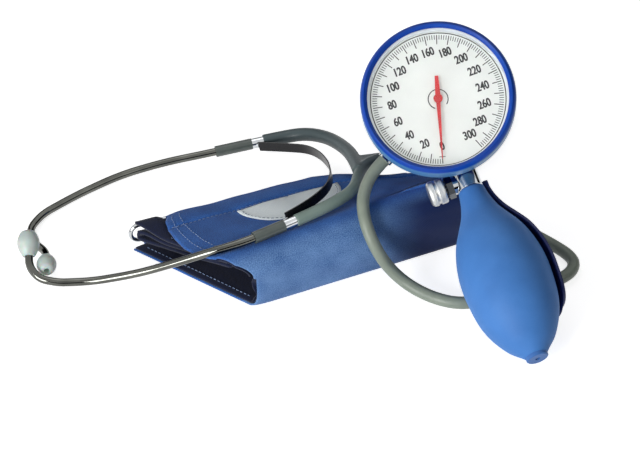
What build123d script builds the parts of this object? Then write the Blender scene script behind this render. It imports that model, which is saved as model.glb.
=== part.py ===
from build123d import *
import math
import os

# Blood pressure kit: palm gauge with bulb, folded arm cuff, air hose and stethoscope. Millimetres.
# The origin is the middle of the cuff's flat underside. +Z is up, and -Y is the side that the dial faces.

os.makedirs("parts", exist_ok=True)

# Clearances
RUN = 0.05                 # radial clearance of a running fit
GAP = 0.3                  # gap between loose pieces that only lie together

# How the gauge and bulb lie: the bulb's end on the table, the gauge leant back over the cuff
NECK_TOP = (89.96, -0.741, 56.648)  # where the neck leaves the case, with the bulb's end on the table
LAY_BACK = 50.0            # degrees from lying flat
SIDE_ROLL = 20.0           # degrees, the whole unit rolled over to its left
DIAL_TILT = 10.0           # the dial is set up towards the reader
HANDLE_TILT = 25.0         # the bulb's axis lies further back than the dial

# Gauge case and bezel. Heights are from the face of the dial, outwards is up
CASE_RADIUS = 39.0
CASE_WALL = 2.0
CASE_DEPTH = 24.0
CASE_EDGE_ROUND = 4.0
FLANGE_RADIUS = CASE_RADIUS + 2.5
FLANGE_DEPTH = 6.0
DIAL_RADIUS = CASE_RADIUS + 0.9
DIAL_THICKNESS = 0.8
RING_HEIGHT = 3.2          # the pale ring that holds the dial down
RING_BORE = DIAL_RADIUS - 1.9
GASKET_THICKNESS = 0.8
LENS_THICKNESS = 1.6
LIP_BORE = DIAL_RADIUS - 1.0
BEZEL_RADIUS = FLANGE_RADIUS + 1.5
BEZEL_BACK = -5.0
BEZEL_FRONT = 8.0

# Dial scale
SCALE_START = 254.0        # degrees, where zero stands, from the dial's right
SCALE_SWEEP = 322.5
SCALE_FULL = 300
POINTER_REACH = DIAL_RADIUS - 5.9
POINTER_TAIL = 12.7
POINTER_HEIGHT = 1.8
POINTER_THICKNESS = 0.4
POINTER_HUB = 2.55

# Movement
GEAR_MODULE = 0.3
PINION_TEETH = 8
GEAR_RATIO = 12
TOOTH_WORKING = 0.25       # how far a tooth stands outside the pitch circle
TOOTH_ROOT = 0.45
TOOTH_TIP_WIDTH = 0.2
TOOTH_ROOT_WIDTH = 0.46
SPRING_TURNS = 4
SPRING_START = 1.7
SPRING_PITCH = 0.8
SPRING_STRIP = 0.2
SPRING_STUD = 0.6
ARBOR_RADIUS = 0.7
SHAFT_TOP = 2.7
GEAR_THICKNESS = 1.0
BACK_PLATE_TOP = -11.0
FRONT_PLATE_UNDER = -4.2
PLATE_THICKNESS = 1.0
GEAR_BOTTOM = -7.6
PLATE_LEFT = -24.0
PLATE_RIGHT = 13.0
PLATE_LOW = -15.0
PLATE_HIGH = 20.0
PILLAR_INSET = 2.5
PILLAR_RADIUS = 1.5
SCREW_RADIUS = 0.6
POST_RADIUS = 2.5

# Rocker, which turns the capsule's lift into the sector's swing
ROCKER_HEIGHT = -9.0
ROCKER_RADIUS = 0.8
LIFT_ARM = 4.0
LIFT_TRAVEL = 1.6
LIFT_Y = 14.0
PUSH_LEVEL = -5.4
TAIL_HEIGHT = 1.0
CONTACT_GAP = 0.25

# Capsule
CAPSULE_RADIUS = CASE_RADIUS - CASE_WALL - 20.0
CAPSULE_STUD = 3.0
CAPSULE_TOP = -15.0
CAPSULE_BOTTOM = -20.5
FEED_RADIUS = 1.3
FEED_BORE = 0.8
FEED_INSIDE = 4.0

# Neck, release valve and bulb. Distances run down the handle's axis from the case
HANDLE_ROOT = (0.0, 1.0 - CASE_RADIUS, -14.5)
NECK_RADIUS = 7.3
NECK_START = 3.0
NECK_LENGTH = 12.0
NECK_BORE = 2.5
SPIGOT_RADIUS = 4.0
NIPPLE_RADIUS = 4.8
NIPPLE_LENGTH = 14.0
VALVE_AT = 9.0
BUSH_LENGTH = 4.0
BUSH_FLATS = 11.0
KNOB_RADIUS = 7.2
KNOB_LENGTH = 9.6
KNOB_GAP = 0.8
KNOB_FLUTES = 28
STEM_RADIUS = 2.0
SEAT_THICKNESS = 2.0
SEAT_HOLE = 1.7
INLET_HOLE = 1.4
OUTLET_BALL = 2.6
INLET_BALL = 2.2
BALL_LIFT = 1.2
BULB_LENGTH = 104.0
BULB_RADIUS = 24.7
BULB_WALL = 2.5
END_FLANGE_RADIUS = 6.2
END_FLANGE = 2.2
END_STEM_RADIUS = 4.4
END_STEM_LENGTH = 9.5

# Palm spoon
SPOON_GAP = 1.6
SPOON_THICKNESS = 1.8
SPOON_REACH = 80.0
SPOON_WIDTH = 40.0
SPOON_TURN = -45.0         # degrees round the bulb, where the middle of the blade stands
SPOON_ARC = 110.0
TAB_LENGTH = 4.0
TAB_WIDTH = 9.0
SPOON_SCREW_RADIUS = 1.2

# Air hose
HOSE_RADIUS = 3.5
HOSE_BORE = 1.75
PORT_ANGLE = 206.0
PORT_LEVEL = -14.0
PORT_RADIUS = 4.4
PORT_STEM = 2.6
HOSE_START = CASE_RADIUS + 4.4  # where the hose meets the port, from the dial's middle
NIPPLE_IN_HOSE = 4.0
AIR_WAY = 0.9

# Cuff. Places on it are (along the front fold, depth behind it)
CUFF_CORNER = (-22.9, -55.4)
CUFF_TURN = 24.95
CUFF_LENGTH = 131.6
CUFF_DEPTH_LEFT = 75.0
CUFF_DEPTH_RIGHT = 62.0
CUFF_FRONT_LEFT = 35.0
CUFF_FRONT_RIGHT = 44.0
CUFF_BACK_LEFT = 21.0
CUFF_BACK_RIGHT = 20.0
CUFF_SKEW_LEFT = -43.5
CUFF_BACK_CUT = ((66.0, 66.0), (112.0, 44.0))
CUFF_STATIONS = (-60.0, 150.0)
CUFF_SPARE = 14.0          # how far the folds run on behind, before they are cut to the plan
FOLD_LOW_ROUND = 6.0
FOLD_TOP_ROUND = 12.0
SOLE = 0.2                 # how deep the table presses the underside flat
CLOTH = 1.2
BLADDER = 2.2
LEAF = 2.3
TAIL_LEAVES = 3
TAIL_FRONT = 16.0
TAIL_BACK = 88.0
PATCH = 1.0
HOOK_PATCH = (12.0, 96.0, 20.0, 36.0)
LOOP_PATCH = (4.0, 70.0, 40.0, 60.0)
LABEL_CENTRE = (43.0, 55.0)
LABEL_HALF = (31.0, 27.0)
LABEL_THICKNESS = 0.5

# Pull ring
RING_WIRE = 1.3
RING_LENGTH = 104.0
RING_RISE = 11.0
RING_AXIS = 3.8
RING_BEHIND = 4.6
SLEEVE_RADIUS = 3.4
SLEEVE_INSET = 2.0

# Hose socket in the cuff's right end
SOCKET_DEPTH_IN = 16.0
SOCKET_HEIGHT = 10.0
SOCKET_RADIUS = 4.4
SOCKET_LENGTH = 22.0
SOCKET_PROUD = 7.5
SOCKET_BOSS = 3.0

# The air hose's way over the table, between its two straight ends
HOSE_EXIT = 7.5
HOSE_ROUTE = [(37.5, -6.1, 50.3), (35.1, -13.5, 46.9), (34.9, -21.1, 43.2), (36.6, -28.2, 38.4), (39.9, -33.2, 31.4),
              (44.4, -35.8, 22.6), (50.0, -36.8, 13.8), (57.4, -39.4, 7.2), (66.2, -44.6, 4.2), (76.0, -50.8, 4.0),
              (87.0, -54.4, 4.0), (98.0, -53.0, 4.0), (107.6, -47.6, 4.0), (116.4, -42.2, 4.0), (126.6, -39.6, 4.0),
              (137.2, -38.0, 4.0), (146.2, -33.2, 4.0), (152.2, -26.8, 4.0), (153.8, -19.4, 4.0), (150.6, -12.6, 4.0),
              (144.0, -5.8, 4.1), (136.4, 0.4, 4.6), (128.8, 6.0, 5.6), (121.2, 11.2, 6.8), (113.4, 15.2, 8.2),
              (105.8, 18.4, 9.4)]

# Stethoscope. A bracket is the straight stretch of an ear tube, from the bend to the collar
EAR_TUBE_RADIUS = 2.3
EAR_TUBE_BORE = 1.6
ARM_RADIUS = 3.5
ARM_GRIP = 7.0             # how far an ear tube goes into its rubber arm
ARM_STRAIGHT = 12.0
SLEEVE_WALL = 1.0
SLEEVE_FROM_BEND = 6.0
COLLAR_RADIUS = 3.1
COLLAR_LENGTH = 7.0
LUG_RADIUS = 1.4
NEAR_BRACKET = ((-30.0, -42.5, 38.2), (-8.4, -30.4, 39.9))
NEAR_TUBE = [(-151.3, -19.4, 14.4), (-150.5, -29.0, 8.3), (-144.5, -34.6, 4.6), (-134.0, -36.4, 3.4),
             (-115.0, -36.6, 4.6), (-88.2, -39.4, 13.0), (-62.7, -43.4, 26.0), (-45.2, -45.0, 34.4)]
NEAR_ARM = [(24.1, -8.0, 41.2), (31.2, 2.6, 40.0)]
FORK = (33.6, 20.6, 37.2)
STEM = [(40.6, 31.4, 36.6), (54.1, 40.6, 33.0)]
FAR_BRACKET = ((-56.0, 78.2, 4.2), (-29.0, 85.2, 6.2))
FAR_TUBE = [(-141.7, -22.2, 5.8), (-142.9, -11.4, 4.7), (-150.2, -2.2, 3.2), (-154.2, 10.4, 2.9),
            (-148.0, 24.0, 2.9), (-129.0, 41.6, 3.0), (-105.0, 59.6, 3.2), (-80.0, 71.2, 3.4)]
FAR_ARM = [(2.8, 88.2, 11.6), (15.4, 77.8, 17.0), (24.6, 60.4, 24.0), (30.7, 41.3, 31.0)]
FORK_BALL = 15.0           # how far the far arm's stub reaches from the fork
FORK_SWELL = 4.4

# Leaf spring, in the plane through its two ends and its furthest point
STRAP_WIDTH = 5.5
STRAP_THICKNESS = 0.8
SPRING_FAR = (-24.5, 81.9, 6.9)
SPRING_UP = (17.6, 20.0, 34.0)
SPRING_NEAR = (-7.5, -24.9, 41.0)
SPRING_ROUTE = [(0.0, 0.0), (12.5, -14.5), (24.0, -26.4), (39.4, -31.8), (57.2, -33.8), (71.5, -32.8), (84.0, -29.6),
                (93.5, -24.2), (101.6, -16.6), (108.0, -8.4), (113.4, 0.0)]
NEAR_LUG = (-6.9, -25.9, 40.4)
FAR_LUG = (-24.7, 82.6, 6.5)

# Ear tips
TIP_RADIUS = 6.3
TIP_LENGTH = 15.0
FAR_TIP_RADIUS = 5.6
FAR_TIP_LENGTH = 13.0
TIP_GRIP = 5.0             # how far an ear tip is pushed on to its tube

# Acoustic tube, its coil and the chest piece
ACOUSTIC_RADIUS = 3.5
ACOUSTIC_BORE = 1.75
ACOUSTIC_REST = 3.8
ACOUSTIC_EXIT = 9.2
ACOUSTIC_ROUTE = [(69.4, 51.0, 27.6), (76.2, 56.2, 20.8), (82.6, 61.4, 13.4), (89.4, 66.8, 7.4)]
LEAD_ROUTE = [(119.6, 138.0, 9.9), (119.5, 149.0, 8.6), (116.0, 157.8, 7.9), (109.4, 164.6, 7.6)]
COIL_CENTRE = (82.0, 110.0)
COIL_OUTER = 40.5
COIL_PITCH = 7.5
COIL_TURNS = 2.125
COIL_START = -45.0
COIL_CLIMB = 0.5
COIL_ARCS = 8
CHEST_CENTRE = (66.0, 168.0)
CHEST_RADIUS = 20.0
CHEST_THICKNESS = 11.0
CHEST_REST = 0.3
CHEST_STEM = 6.0
CHEST_STEM_HEIGHT = 7.6
STEM_TUBE = 2.4
STEM_INSIDE = 8.0
CHEST_ROUND = 3.0
BOWL_DEPTH = 2.5
RIM_WALL = 1.6
RIM_HEIGHT = 4.4
RIM_LIP = 1.4
MEMBRANE = 0.5


def gauge_place():
    """Where the gauge's own frame stands: x to the dial's right, y to its top, z out of the dial."""
    turn = Rotation(LAY_BACK, 0, 0) * Rotation(0, 0, SIDE_ROLL) * Rotation(-DIAL_TILT, 0, 0)
    down_to_neck = (turn * Location(HANDLE_ROOT)).position
    return Location(Vector(*NECK_TOP) - down_to_neck) * turn


def handle_place():
    """Where the handle's frame stands: -y runs down the bulb from the gauge case."""
    return gauge_place() * Location(HANDLE_ROOT) * Rotation(DIAL_TILT - HANDLE_TILT, 0, 0)


def cuff_place():
    """Where the cuff's frame stands: x along the front fold, y back from it."""
    return Location((CUFF_CORNER[0], CUFF_CORNER[1], 0)) * Rotation(0, 0, CUFF_TURN)


def save(name, shape):
    shape.label = name
    export_step(shape, f"parts/{name}.step")


def rod(radius, start, end):
    """A round bar between two points."""
    line = Line(start, end)
    return sweep(Plane(origin=start, z_dir=line % 0) * Circle(radius), path=line)


def disc(radius, low, high, x=0.0, y=0.0):
    """A round plate or post that stands along z between two heights."""
    return Pos(x, y, low) * extrude(Circle(radius), high - low)


def ring(outer, inner, low, high):
    return Pos(0, 0, low) * extrude(Circle(outer) - Circle(inner), high - low)


def upright(face):
    """Stands a flat outline of (radius, height) up, so that it can be turned about z."""
    return Rotation(90, 0, 0) * face


def along_handle(radius, start, end):
    """A round bar on the handle's axis, from one distance down it to another."""
    return Rotation(90, 0, 0) * disc(radius, start, end)


def turn_radii(points):
    """The largest arc that the two runs at each corner leave room for."""
    radii = []
    for before, here, after in zip(points, points[1:], points[2:]):
        first = Vector(*here) - Vector(*before)
        second = Vector(*after) - Vector(*here)
        half_turn = math.radians(first.get_angle(second)) / 2
        radii.append(0.45 * min(first.length, second.length) / math.tan(half_turn))
    return radii


def tube(name, points, radius, bore=0.0):
    """A tube along straight runs joined by arcs, with its tightest bend and volume printed."""
    radii = turn_radii(points)
    path = FilletPolyline(*points, radius=radii)
    section = Circle(radius) - Circle(bore) if bore else Circle(radius)
    solid = sweep(Plane(origin=points[0], z_dir=path % 0) * section, path=path)
    expected = math.pi * (radius ** 2 - bore ** 2) * path.length
    print(f"{name}: length {path.length:.1f}, tightest bend {min(radii):.1f}, "
          f"volume {solid.volume / expected:.4f} of section times length")
    print("   radii", [round(r) for r in radii])
    return solid


# Gauge housing

def gauge_case():
    drum = disc(CASE_RADIUS, -CASE_DEPTH, -FLANGE_DEPTH)
    drum = fillet(drum.edges().group_by(Axis.Z)[0], CASE_EDGE_ROUND)
    body = drum + disc(FLANGE_RADIUS, -FLANGE_DEPTH, RING_HEIGHT)
    body -= disc(CASE_RADIUS - CASE_WALL, CASE_WALL - CASE_DEPTH, -DIAL_THICKNESS)
    body -= disc(DIAL_RADIUS + RUN, -DIAL_THICKNESS, RING_HEIGHT)
    into_gauge = Location(HANDLE_ROOT) * Rotation(DIAL_TILT - HANDLE_TILT, 0, 0)
    boss = into_gauge * along_handle(NECK_RADIUS - 1, -2 * CASE_WALL, NECK_START)
    boss -= disc(CASE_RADIUS - 2 * CASE_WALL, -CASE_DEPTH, 0)
    body += boss
    body -= into_gauge * along_handle(SPIGOT_RADIUS, -3 * CASE_WALL, NECK_START + 1)
    for x, y in mount_points():
        body += disc(POST_RADIUS, CASE_WALL - CASE_DEPTH, BACK_PLATE_TOP - PLATE_THICKNESS, x, y)
    x, y = lift_point()
    body += disc(CAPSULE_STUD, CASE_WALL - CASE_DEPTH, CAPSULE_BOTTOM, x, y)
    port = port_direction()
    level = Vector(0, 0, PORT_LEVEL)
    inside = tuple(port * (CASE_RADIUS - 2 * CASE_WALL) + level)
    return body - rod(PORT_STEM, inside, tuple(port * HOSE_START + level))


def mount_points():
    """Where posts on the case floor carry the movement, clear of the capsule."""
    return [(PLATE_RIGHT - 4, PLATE_HIGH - 4), (PLATE_RIGHT - 4, PLATE_LOW + 4), (PLATE_LEFT + 4, PLATE_LOW + 4)]


def port_direction():
    angle = math.radians(PORT_ANGLE)
    return Vector(math.cos(angle), math.sin(angle), 0)


def bezel_ring():
    gasket_top = RING_HEIGHT + GASKET_THICKNESS
    lens_top = gasket_top + LENS_THICKNESS
    bore = FLANGE_RADIUS + 0.1
    outline = Polyline((bore, BEZEL_BACK), (BEZEL_RADIUS - 0.5, BEZEL_BACK), (BEZEL_RADIUS, BEZEL_BACK + 0.5),
                       (BEZEL_RADIUS, BEZEL_FRONT - 4.0))
    crown = TangentArc((BEZEL_RADIUS, BEZEL_FRONT - 4.0), (BEZEL_RADIUS - 2.2, BEZEL_FRONT), tangent=(0, 1))
    front = Polyline((BEZEL_RADIUS - 2.2, BEZEL_FRONT), (LIP_BORE + 0.6, BEZEL_FRONT - 1.0),
                     (LIP_BORE, lens_top + 0.6), (LIP_BORE, lens_top), (bore, lens_top), (bore, BEZEL_BACK))
    return revolve(upright(make_face([outline, crown, front])), Axis.Z)


def lens_gasket():
    return ring(FLANGE_RADIUS, LIP_BORE, RING_HEIGHT, RING_HEIGHT + GASKET_THICKNESS)


def crystal_lens():
    low = RING_HEIGHT + GASKET_THICKNESS
    return disc(FLANGE_RADIUS, low, low + LENS_THICKNESS)


def dial_ring():
    return ring(DIAL_RADIUS, RING_BORE, 0, RING_HEIGHT)


def dial_plate():
    return ring(DIAL_RADIUS, 2.0, -DIAL_THICKNESS, 0)


# Pointer and gear train

def scale_direction(value):
    """The direction of a reading on the dial, in degrees from the dial's right."""
    return SCALE_START - SCALE_SWEEP * value / SCALE_FULL


def pointer():
    corners = [(1.0, 1.2), (POINTER_REACH, 0.25), (POINTER_REACH, -0.25), (1.0, -1.2)]
    needle = make_face(Polyline(*corners, close=True))
    corners = [(-1.0, 1.5), (-POINTER_TAIL, 0.95), (-POINTER_TAIL, -0.95), (-1.0, -1.5)]
    tail = make_face(Polyline(*corners, close=True))
    blade = extrude(needle + tail + Circle(POINTER_HUB), POINTER_THICKNESS)
    hub = disc(1.6, POINTER_THICKNESS, SHAFT_TOP - POINTER_HEIGHT)
    shape = Pos(0, 0, POINTER_HEIGHT) * (blade + hub)
    shape = Rotation(0, 0, scale_direction(0)) * shape
    return shape - disc(ARBOR_RADIUS, 0, SHAFT_TOP)


def tooth(radius):
    """One tapered tooth on the x axis of a wheel, rooted inside its pitch circle."""
    tip = radius + TOOTH_WORKING
    root = radius - TOOTH_ROOT - 0.1
    return make_face(Polyline((root, TOOTH_ROOT_WIDTH / 2), (tip, TOOTH_TIP_WIDTH / 2),
                              (tip, -TOOTH_TIP_WIDTH / 2), (root, -TOOTH_ROOT_WIDTH / 2), close=True))


def pinion_radius():
    return GEAR_MODULE * PINION_TEETH / 2


def sector_radius():
    return pinion_radius() * GEAR_RATIO


def sector_centre():
    return -(pinion_radius() + sector_radius())


def pointer_shaft():
    shaft = disc(ARBOR_RADIUS, BACK_PLATE_TOP - PLATE_THICKNESS - 0.4, SHAFT_TOP)
    wheel = Sketch() + Circle(pinion_radius() - TOOTH_ROOT)
    for k in range(PINION_TEETH):
        wheel += Rotation(0, 0, 180 + 360 * k / PINION_TEETH) * tooth(pinion_radius())
    pinion = Pos(0, 0, GEAR_BOTTOM - 0.6) * extrude(wheel, GEAR_THICKNESS + 1.2)
    collet = disc(1.3, BACK_PLATE_TOP + 0.2, BACK_PLATE_TOP + 1.6)
    return shaft + pinion + collet


def sector_sweep():
    return SCALE_SWEEP / GEAR_RATIO


def sector_gear():
    """The sector at rest: a gap between its teeth faces the pinion, and more teeth wait below."""
    pitch = 360 / (PINION_TEETH * GEAR_RATIO)
    teeth = math.ceil(sector_sweep() / pitch) + 2
    radius = sector_radius()
    rim = radius - TOOTH_ROOT
    low = -(teeth - 0.7) * pitch
    high = 1.7 * pitch
    turns = [math.radians(a) for a in (low, (low + high) / 2, high)]
    edge = [(rim * math.cos(a), rim * math.sin(a)) for a in reversed(turns)]
    inner = [(9.5 * math.cos(a), 9.5 * math.sin(a)) for a in turns]
    band = make_face(Curve() + [ThreePointArc(*edge), Line(edge[2], inner[0]), ThreePointArc(*inner),
                                Line(inner[2], edge[0])])
    middle = math.radians((low + high) / 2)
    spoke = Rotation(0, 0, math.degrees(middle)) * Pos(5.2, 0) * Rectangle(10.4, 2.0)
    plate = band + spoke + Circle(1.6)
    for k in range(teeth):
        plate += Rotation(0, 0, (1.5 - k) * pitch) * tooth(radius)
    gear = Pos(0, 0, GEAR_BOTTOM) * extrude(plate, GEAR_THICKNESS)
    hub = disc(1.6, GEAR_BOTTOM, PUSH_LEVEL + TAIL_HEIGHT / 2)
    tail = Pos(0, tail_radius() / 2, PUSH_LEVEL) * Box(0.9, tail_radius() + 1.2, TAIL_HEIGHT)
    tail = Rotation(0, 0, -sector_sweep() / 2) * tail
    arbor = disc(ARBOR_RADIUS, BACK_PLATE_TOP - PLATE_THICKNESS - 0.4,
                 FRONT_PLATE_UNDER + PLATE_THICKNESS + 0.3)
    return Pos(sector_centre(), 0, 0) * (gear + hub + tail + arbor)


def rocker_swing():
    """How far the rocker swings while the capsule lifts by its full travel."""
    return 2 * math.degrees(math.asin(LIFT_TRAVEL / 2 / LIFT_ARM))


def tail_radius():
    """The tail is as long as makes the rocker's swing give the sector's sweep."""
    push_arm = PUSH_LEVEL - ROCKER_HEIGHT
    half_rocker = math.radians(rocker_swing() / 2)
    half_sector = math.radians(sector_sweep() / 2)
    return push_arm * math.sin(half_rocker) / math.sin(half_sector)


def rocker():
    """Built at the middle of its swing about the origin's y axis, then set to rest."""
    shaft = Rotation(-90, 0, 0) * disc(ROCKER_RADIUS, 2.3, LIFT_Y + 4.0)
    lift = Pos((LIFT_ARM + 1.0) / 2, LIFT_Y, 0) * Box(LIFT_ARM + 1.0, 2.0, 1.0)
    offset = 0.45 + CONTACT_GAP + 0.5
    push_arm = PUSH_LEVEL - ROCKER_HEIGHT
    foot = Pos(offset / 2, 3.1, 0) * Box(offset + 1.0, 1.6, 1.2)
    post = Pos(offset, 3.1, (push_arm + 0.5) / 2) * Box(1.0, 1.6, push_arm + 0.5)
    shape = Rotation(0, rocker_swing() / 2, 0) * (shaft + lift + foot + post)
    return Pos(sector_centre(), 0, ROCKER_HEIGHT) * shape


def lift_point():
    return (sector_centre() + LIFT_ARM, LIFT_Y)


def capsule_pusher():
    x, y = lift_point()
    drop = math.radians(rocker_swing() / 2)
    arm_under = ROCKER_HEIGHT - LIFT_ARM * math.tan(drop) - 0.5 / math.cos(drop)
    top = arm_under - CONTACT_GAP
    foot = CAPSULE_TOP + 0.25
    return disc(0.8, foot, top, x, y) + disc(2.0, foot, foot + 0.5, x, y)


def diaphragm_capsule():
    x, y = lift_point()
    mid = (CAPSULE_TOP + CAPSULE_BOTTOM) / 2
    half = (CAPSULE_TOP - CAPSULE_BOTTOM) / 2
    upper = [(0, half), (0.235, half), (0.271, half - 0.6), (0.441, half - 0.6), (0.482, half - 1.2),
             (0.618, half - 1.2), (0.659, half - 1.8), (0.8, half - 1.8), (0.882, 0.4), (1.0, 0.4)]
    upper = [(share * CAPSULE_RADIUS, z) for share, z in upper]
    lower = [(r, -z) for r, z in reversed(upper)]
    skin = upright(make_face(Polyline(*(upper + lower), close=True)))
    cavity = [(max(r - 0.3, 0), z - 0.5) for r, z in upper[:-2]]
    cavity += [(r, -z) for r, z in reversed(cavity)]
    hollow = upright(make_face(Polyline(*cavity, close=True)))
    shell = revolve(skin, Axis.Z) - revolve(hollow, Axis.Z)
    shell = Pos(x, y, mid) * shell
    return shell - rod(FEED_BORE, *feed_ends())


def feed_ends():
    """The feed pipe runs from inside the neck's spigot to the capsule's edge."""
    x, y = lift_point()
    edge = Vector(x, y, (CAPSULE_TOP + CAPSULE_BOTTOM) / 2)
    start = Vector(HANDLE_ROOT[0], HANDLE_ROOT[1] + 4.4, HANDLE_ROOT[2] - 1.0)
    way = (edge - start).normalized()
    return tuple(start), tuple(edge - way * (CAPSULE_RADIUS - FEED_INSIDE))


def feed_pipe():
    start, end = feed_ends()
    whole = Vector(*end) - Vector(*start)
    stop = Vector(*start) + whole.normalized() * (whole.length - FEED_INSIDE - 0.2)
    bar = rod(FEED_RADIUS, start, tuple(stop))
    return bar - rod(FEED_BORE, start, end)


def plate_outline():
    width = PLATE_RIGHT - PLATE_LEFT
    height = PLATE_HIGH - PLATE_LOW
    return Pos((PLATE_LEFT + PLATE_RIGHT) / 2, (PLATE_LOW + PLATE_HIGH) / 2) * RectangleRounded(width, height, 3)


def pillar_points():
    return [(x, y) for x in (PLATE_LEFT + PILLAR_INSET, PLATE_RIGHT - PILLAR_INSET)
            for y in (PLATE_LOW + PILLAR_INSET, PLATE_HIGH - PILLAR_INSET)]


def movement_back_plate():
    low = BACK_PLATE_TOP - PLATE_THICKNESS
    plate = Pos(0, 0, low) * extrude(plate_outline(), PLATE_THICKNESS)
    for x in (0, sector_centre()):
        plate -= disc(ARBOR_RADIUS + RUN, low, BACK_PLATE_TOP, x, 0)
    x, y = lift_point()
    plate -= disc(0.8 + RUN + 0.1, low, BACK_PLATE_TOP, x, y)
    for lug_y in (5.4, LIFT_Y + 2.4):
        rise = ROCKER_HEIGHT - BACK_PLATE_TOP + 1.6
        lug = Pos(sector_centre(), lug_y, BACK_PLATE_TOP + rise / 2) * Box(3.4, 1.2, rise)
        plate += lug
    bore = Rotation(-90, 0, 0) * disc(ROCKER_RADIUS + RUN, 2, LIFT_Y + 6)
    plate -= Pos(sector_centre(), 0, ROCKER_HEIGHT) * bore
    stud = disc(SPRING_STUD, BACK_PLATE_TOP, BACK_PLATE_TOP + 1.6, spring_outer() + SPRING_STUD, 0)
    return plate + stud


def movement_front_plate():
    high = FRONT_PLATE_UNDER + PLATE_THICKNESS
    plate = Pos(0, 0, FRONT_PLATE_UNDER) * extrude(plate_outline(), PLATE_THICKNESS)
    for x in (0, sector_centre()):
        plate -= disc(ARBOR_RADIUS + RUN, FRONT_PLATE_UNDER, high, x, 0)
    for x, y in pillar_points():
        plate -= disc(SCREW_RADIUS, FRONT_PLATE_UNDER, high, x, y)
    return plate


def movement_pillars():
    return [disc(PILLAR_RADIUS, BACK_PLATE_TOP, FRONT_PLATE_UNDER, x, y)
            - disc(SCREW_RADIUS, FRONT_PLATE_UNDER - 2, FRONT_PLATE_UNDER, x, y) for x, y in pillar_points()]


def movement_screws():
    top = FRONT_PLATE_UNDER + PLATE_THICKNESS
    return [disc(SCREW_RADIUS, FRONT_PLATE_UNDER - 2, top, x, y) + disc(1.3, top, top + 0.7, x, y)
            - Pos(x, y, top + 0.6) * Box(3, 0.4, 0.3) for x, y in pillar_points()]


def spring_outer():
    return SPRING_START + SPRING_PITCH * SPRING_TURNS


def hairspring():
    """A flat spiral of half rings, each centred a little to one side of the last."""
    spiral = Sketch()
    radius = SPRING_START
    centre = 0.0
    for k in range(2 * SPRING_TURNS):
        side = 1 if k % 2 == 0 else -1
        half = Circle(radius + SPRING_STRIP) - Circle(radius)
        cover = Pos(0, side * 2 * spring_outer()) * Rectangle(8 * spring_outer(), 4 * spring_outer())
        spiral += Pos(centre, 0) * (half & cover)
        centre += -side * SPRING_PITCH / 4
        radius += SPRING_PITCH / 4
    shape = Pos(0, 0, BACK_PLATE_TOP + 0.5) * extrude(spiral, 0.6)
    return shape - disc(SPRING_STUD, BACK_PLATE_TOP, BACK_PLATE_TOP + 2, spring_outer() + SPRING_STUD, 0)


def hose_barb():
    """The port on the case wall, with a nipple inside the hose."""
    port = port_direction()
    level = Vector(0, 0, PORT_LEVEL)
    flange = rod(PORT_RADIUS, tuple(port * (CASE_RADIUS - 0.1) + level), tuple(port * HOSE_START + level))
    flange -= disc(CASE_RADIUS, -CASE_DEPTH, 0)
    stem = rod(PORT_STEM, tuple(port * (CASE_RADIUS - CASE_WALL - 1) + level), tuple(port * HOSE_START + level))
    tip = tuple(port * (HOSE_START + NIPPLE_IN_HOSE) + level)
    nipple = rod(HOSE_BORE - RUN, tuple(port * HOSE_START + level), tip)
    bore = rod(AIR_WAY, tuple(port * (CASE_RADIUS - 2 * CASE_WALL) + level), tip)
    return flange + stem + nipple - bore


# Neck, release valve and bulb, in the handle's frame

def neck_end():
    return NECK_START + NECK_LENGTH


def nipple_end():
    return neck_end() + NIPPLE_LENGTH


def ball_rest(ball, hole, seat):
    """Distance of a ball's middle from its seat, when it closes a round hole."""
    return seat - math.sqrt(ball ** 2 - hole ** 2) - RUN


def valve_body():
    end = nipple_end()
    body = along_handle(NECK_RADIUS, NECK_START, neck_end())
    body = chamfer(body.edges().filter_by(GeomType.CIRCLE), 0.5)
    body += along_handle(SPIGOT_RADIUS, -3, NECK_START)
    body += along_handle(NIPPLE_RADIUS, neck_end(), end)
    branch = Pos(0, -VALVE_AT, 0) * Rotation(0, -90, 0) * disc(5.0, 0, NECK_RADIUS + 1.2)
    body += branch
    chamber = SEAT_THICKNESS + 2 * OUTLET_BALL + BALL_LIFT + 0.2
    body -= along_handle(NECK_BORE, -3, end)
    body -= along_handle(OUTLET_BALL + 0.4, end - chamber, end)
    body -= Pos(0, -VALVE_AT, 0) * Rotation(0, -90, 0) * disc(1.6, 0, NECK_RADIUS + 1.2)
    body -= Pos(0, -VALVE_AT, 0) * Rotation(0, -90, 0) * disc(3.2, NECK_RADIUS - 3.0, NECK_RADIUS + 1.2)
    return body - towards_spoon(disc(SPOON_SCREW_RADIUS, screw_foot(), NECK_RADIUS + 1))


def outlet_seat():
    return nipple_end() - SEAT_THICKNESS


def check_valve_seat():
    plug = along_handle(OUTLET_BALL + 0.4, outlet_seat(), nipple_end())
    return plug - along_handle(SEAT_HOLE, outlet_seat() - 1, nipple_end() + 1)


def outlet_ball():
    middle = ball_rest(OUTLET_BALL, SEAT_HOLE, outlet_seat())
    return Pos(0, -middle, 0) * Sphere(OUTLET_BALL)


def on_valve_axis(shape):
    """Lays a shape built along z on the release valve's axis, pointing away from the neck."""
    return Pos(0, -VALVE_AT, 0) * Rotation(0, -90, 0) * shape


def bush_start():
    return NECK_RADIUS + 1.2


def knob_start():
    return bush_start() + BUSH_LENGTH + KNOB_GAP


def valve_bush():
    nut = extrude(RegularPolygon(BUSH_FLATS / 2, 6, major_radius=False), BUSH_LENGTH)
    shape = Pos(0, 0, bush_start()) * chamfer(nut.edges().group_by(Axis.Z)[-1], 0.5)
    shape += disc(3.2, NECK_RADIUS - 3.0, bush_start())
    return on_valve_axis(shape - disc(STEM_RADIUS + RUN, 0, knob_start()))


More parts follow.
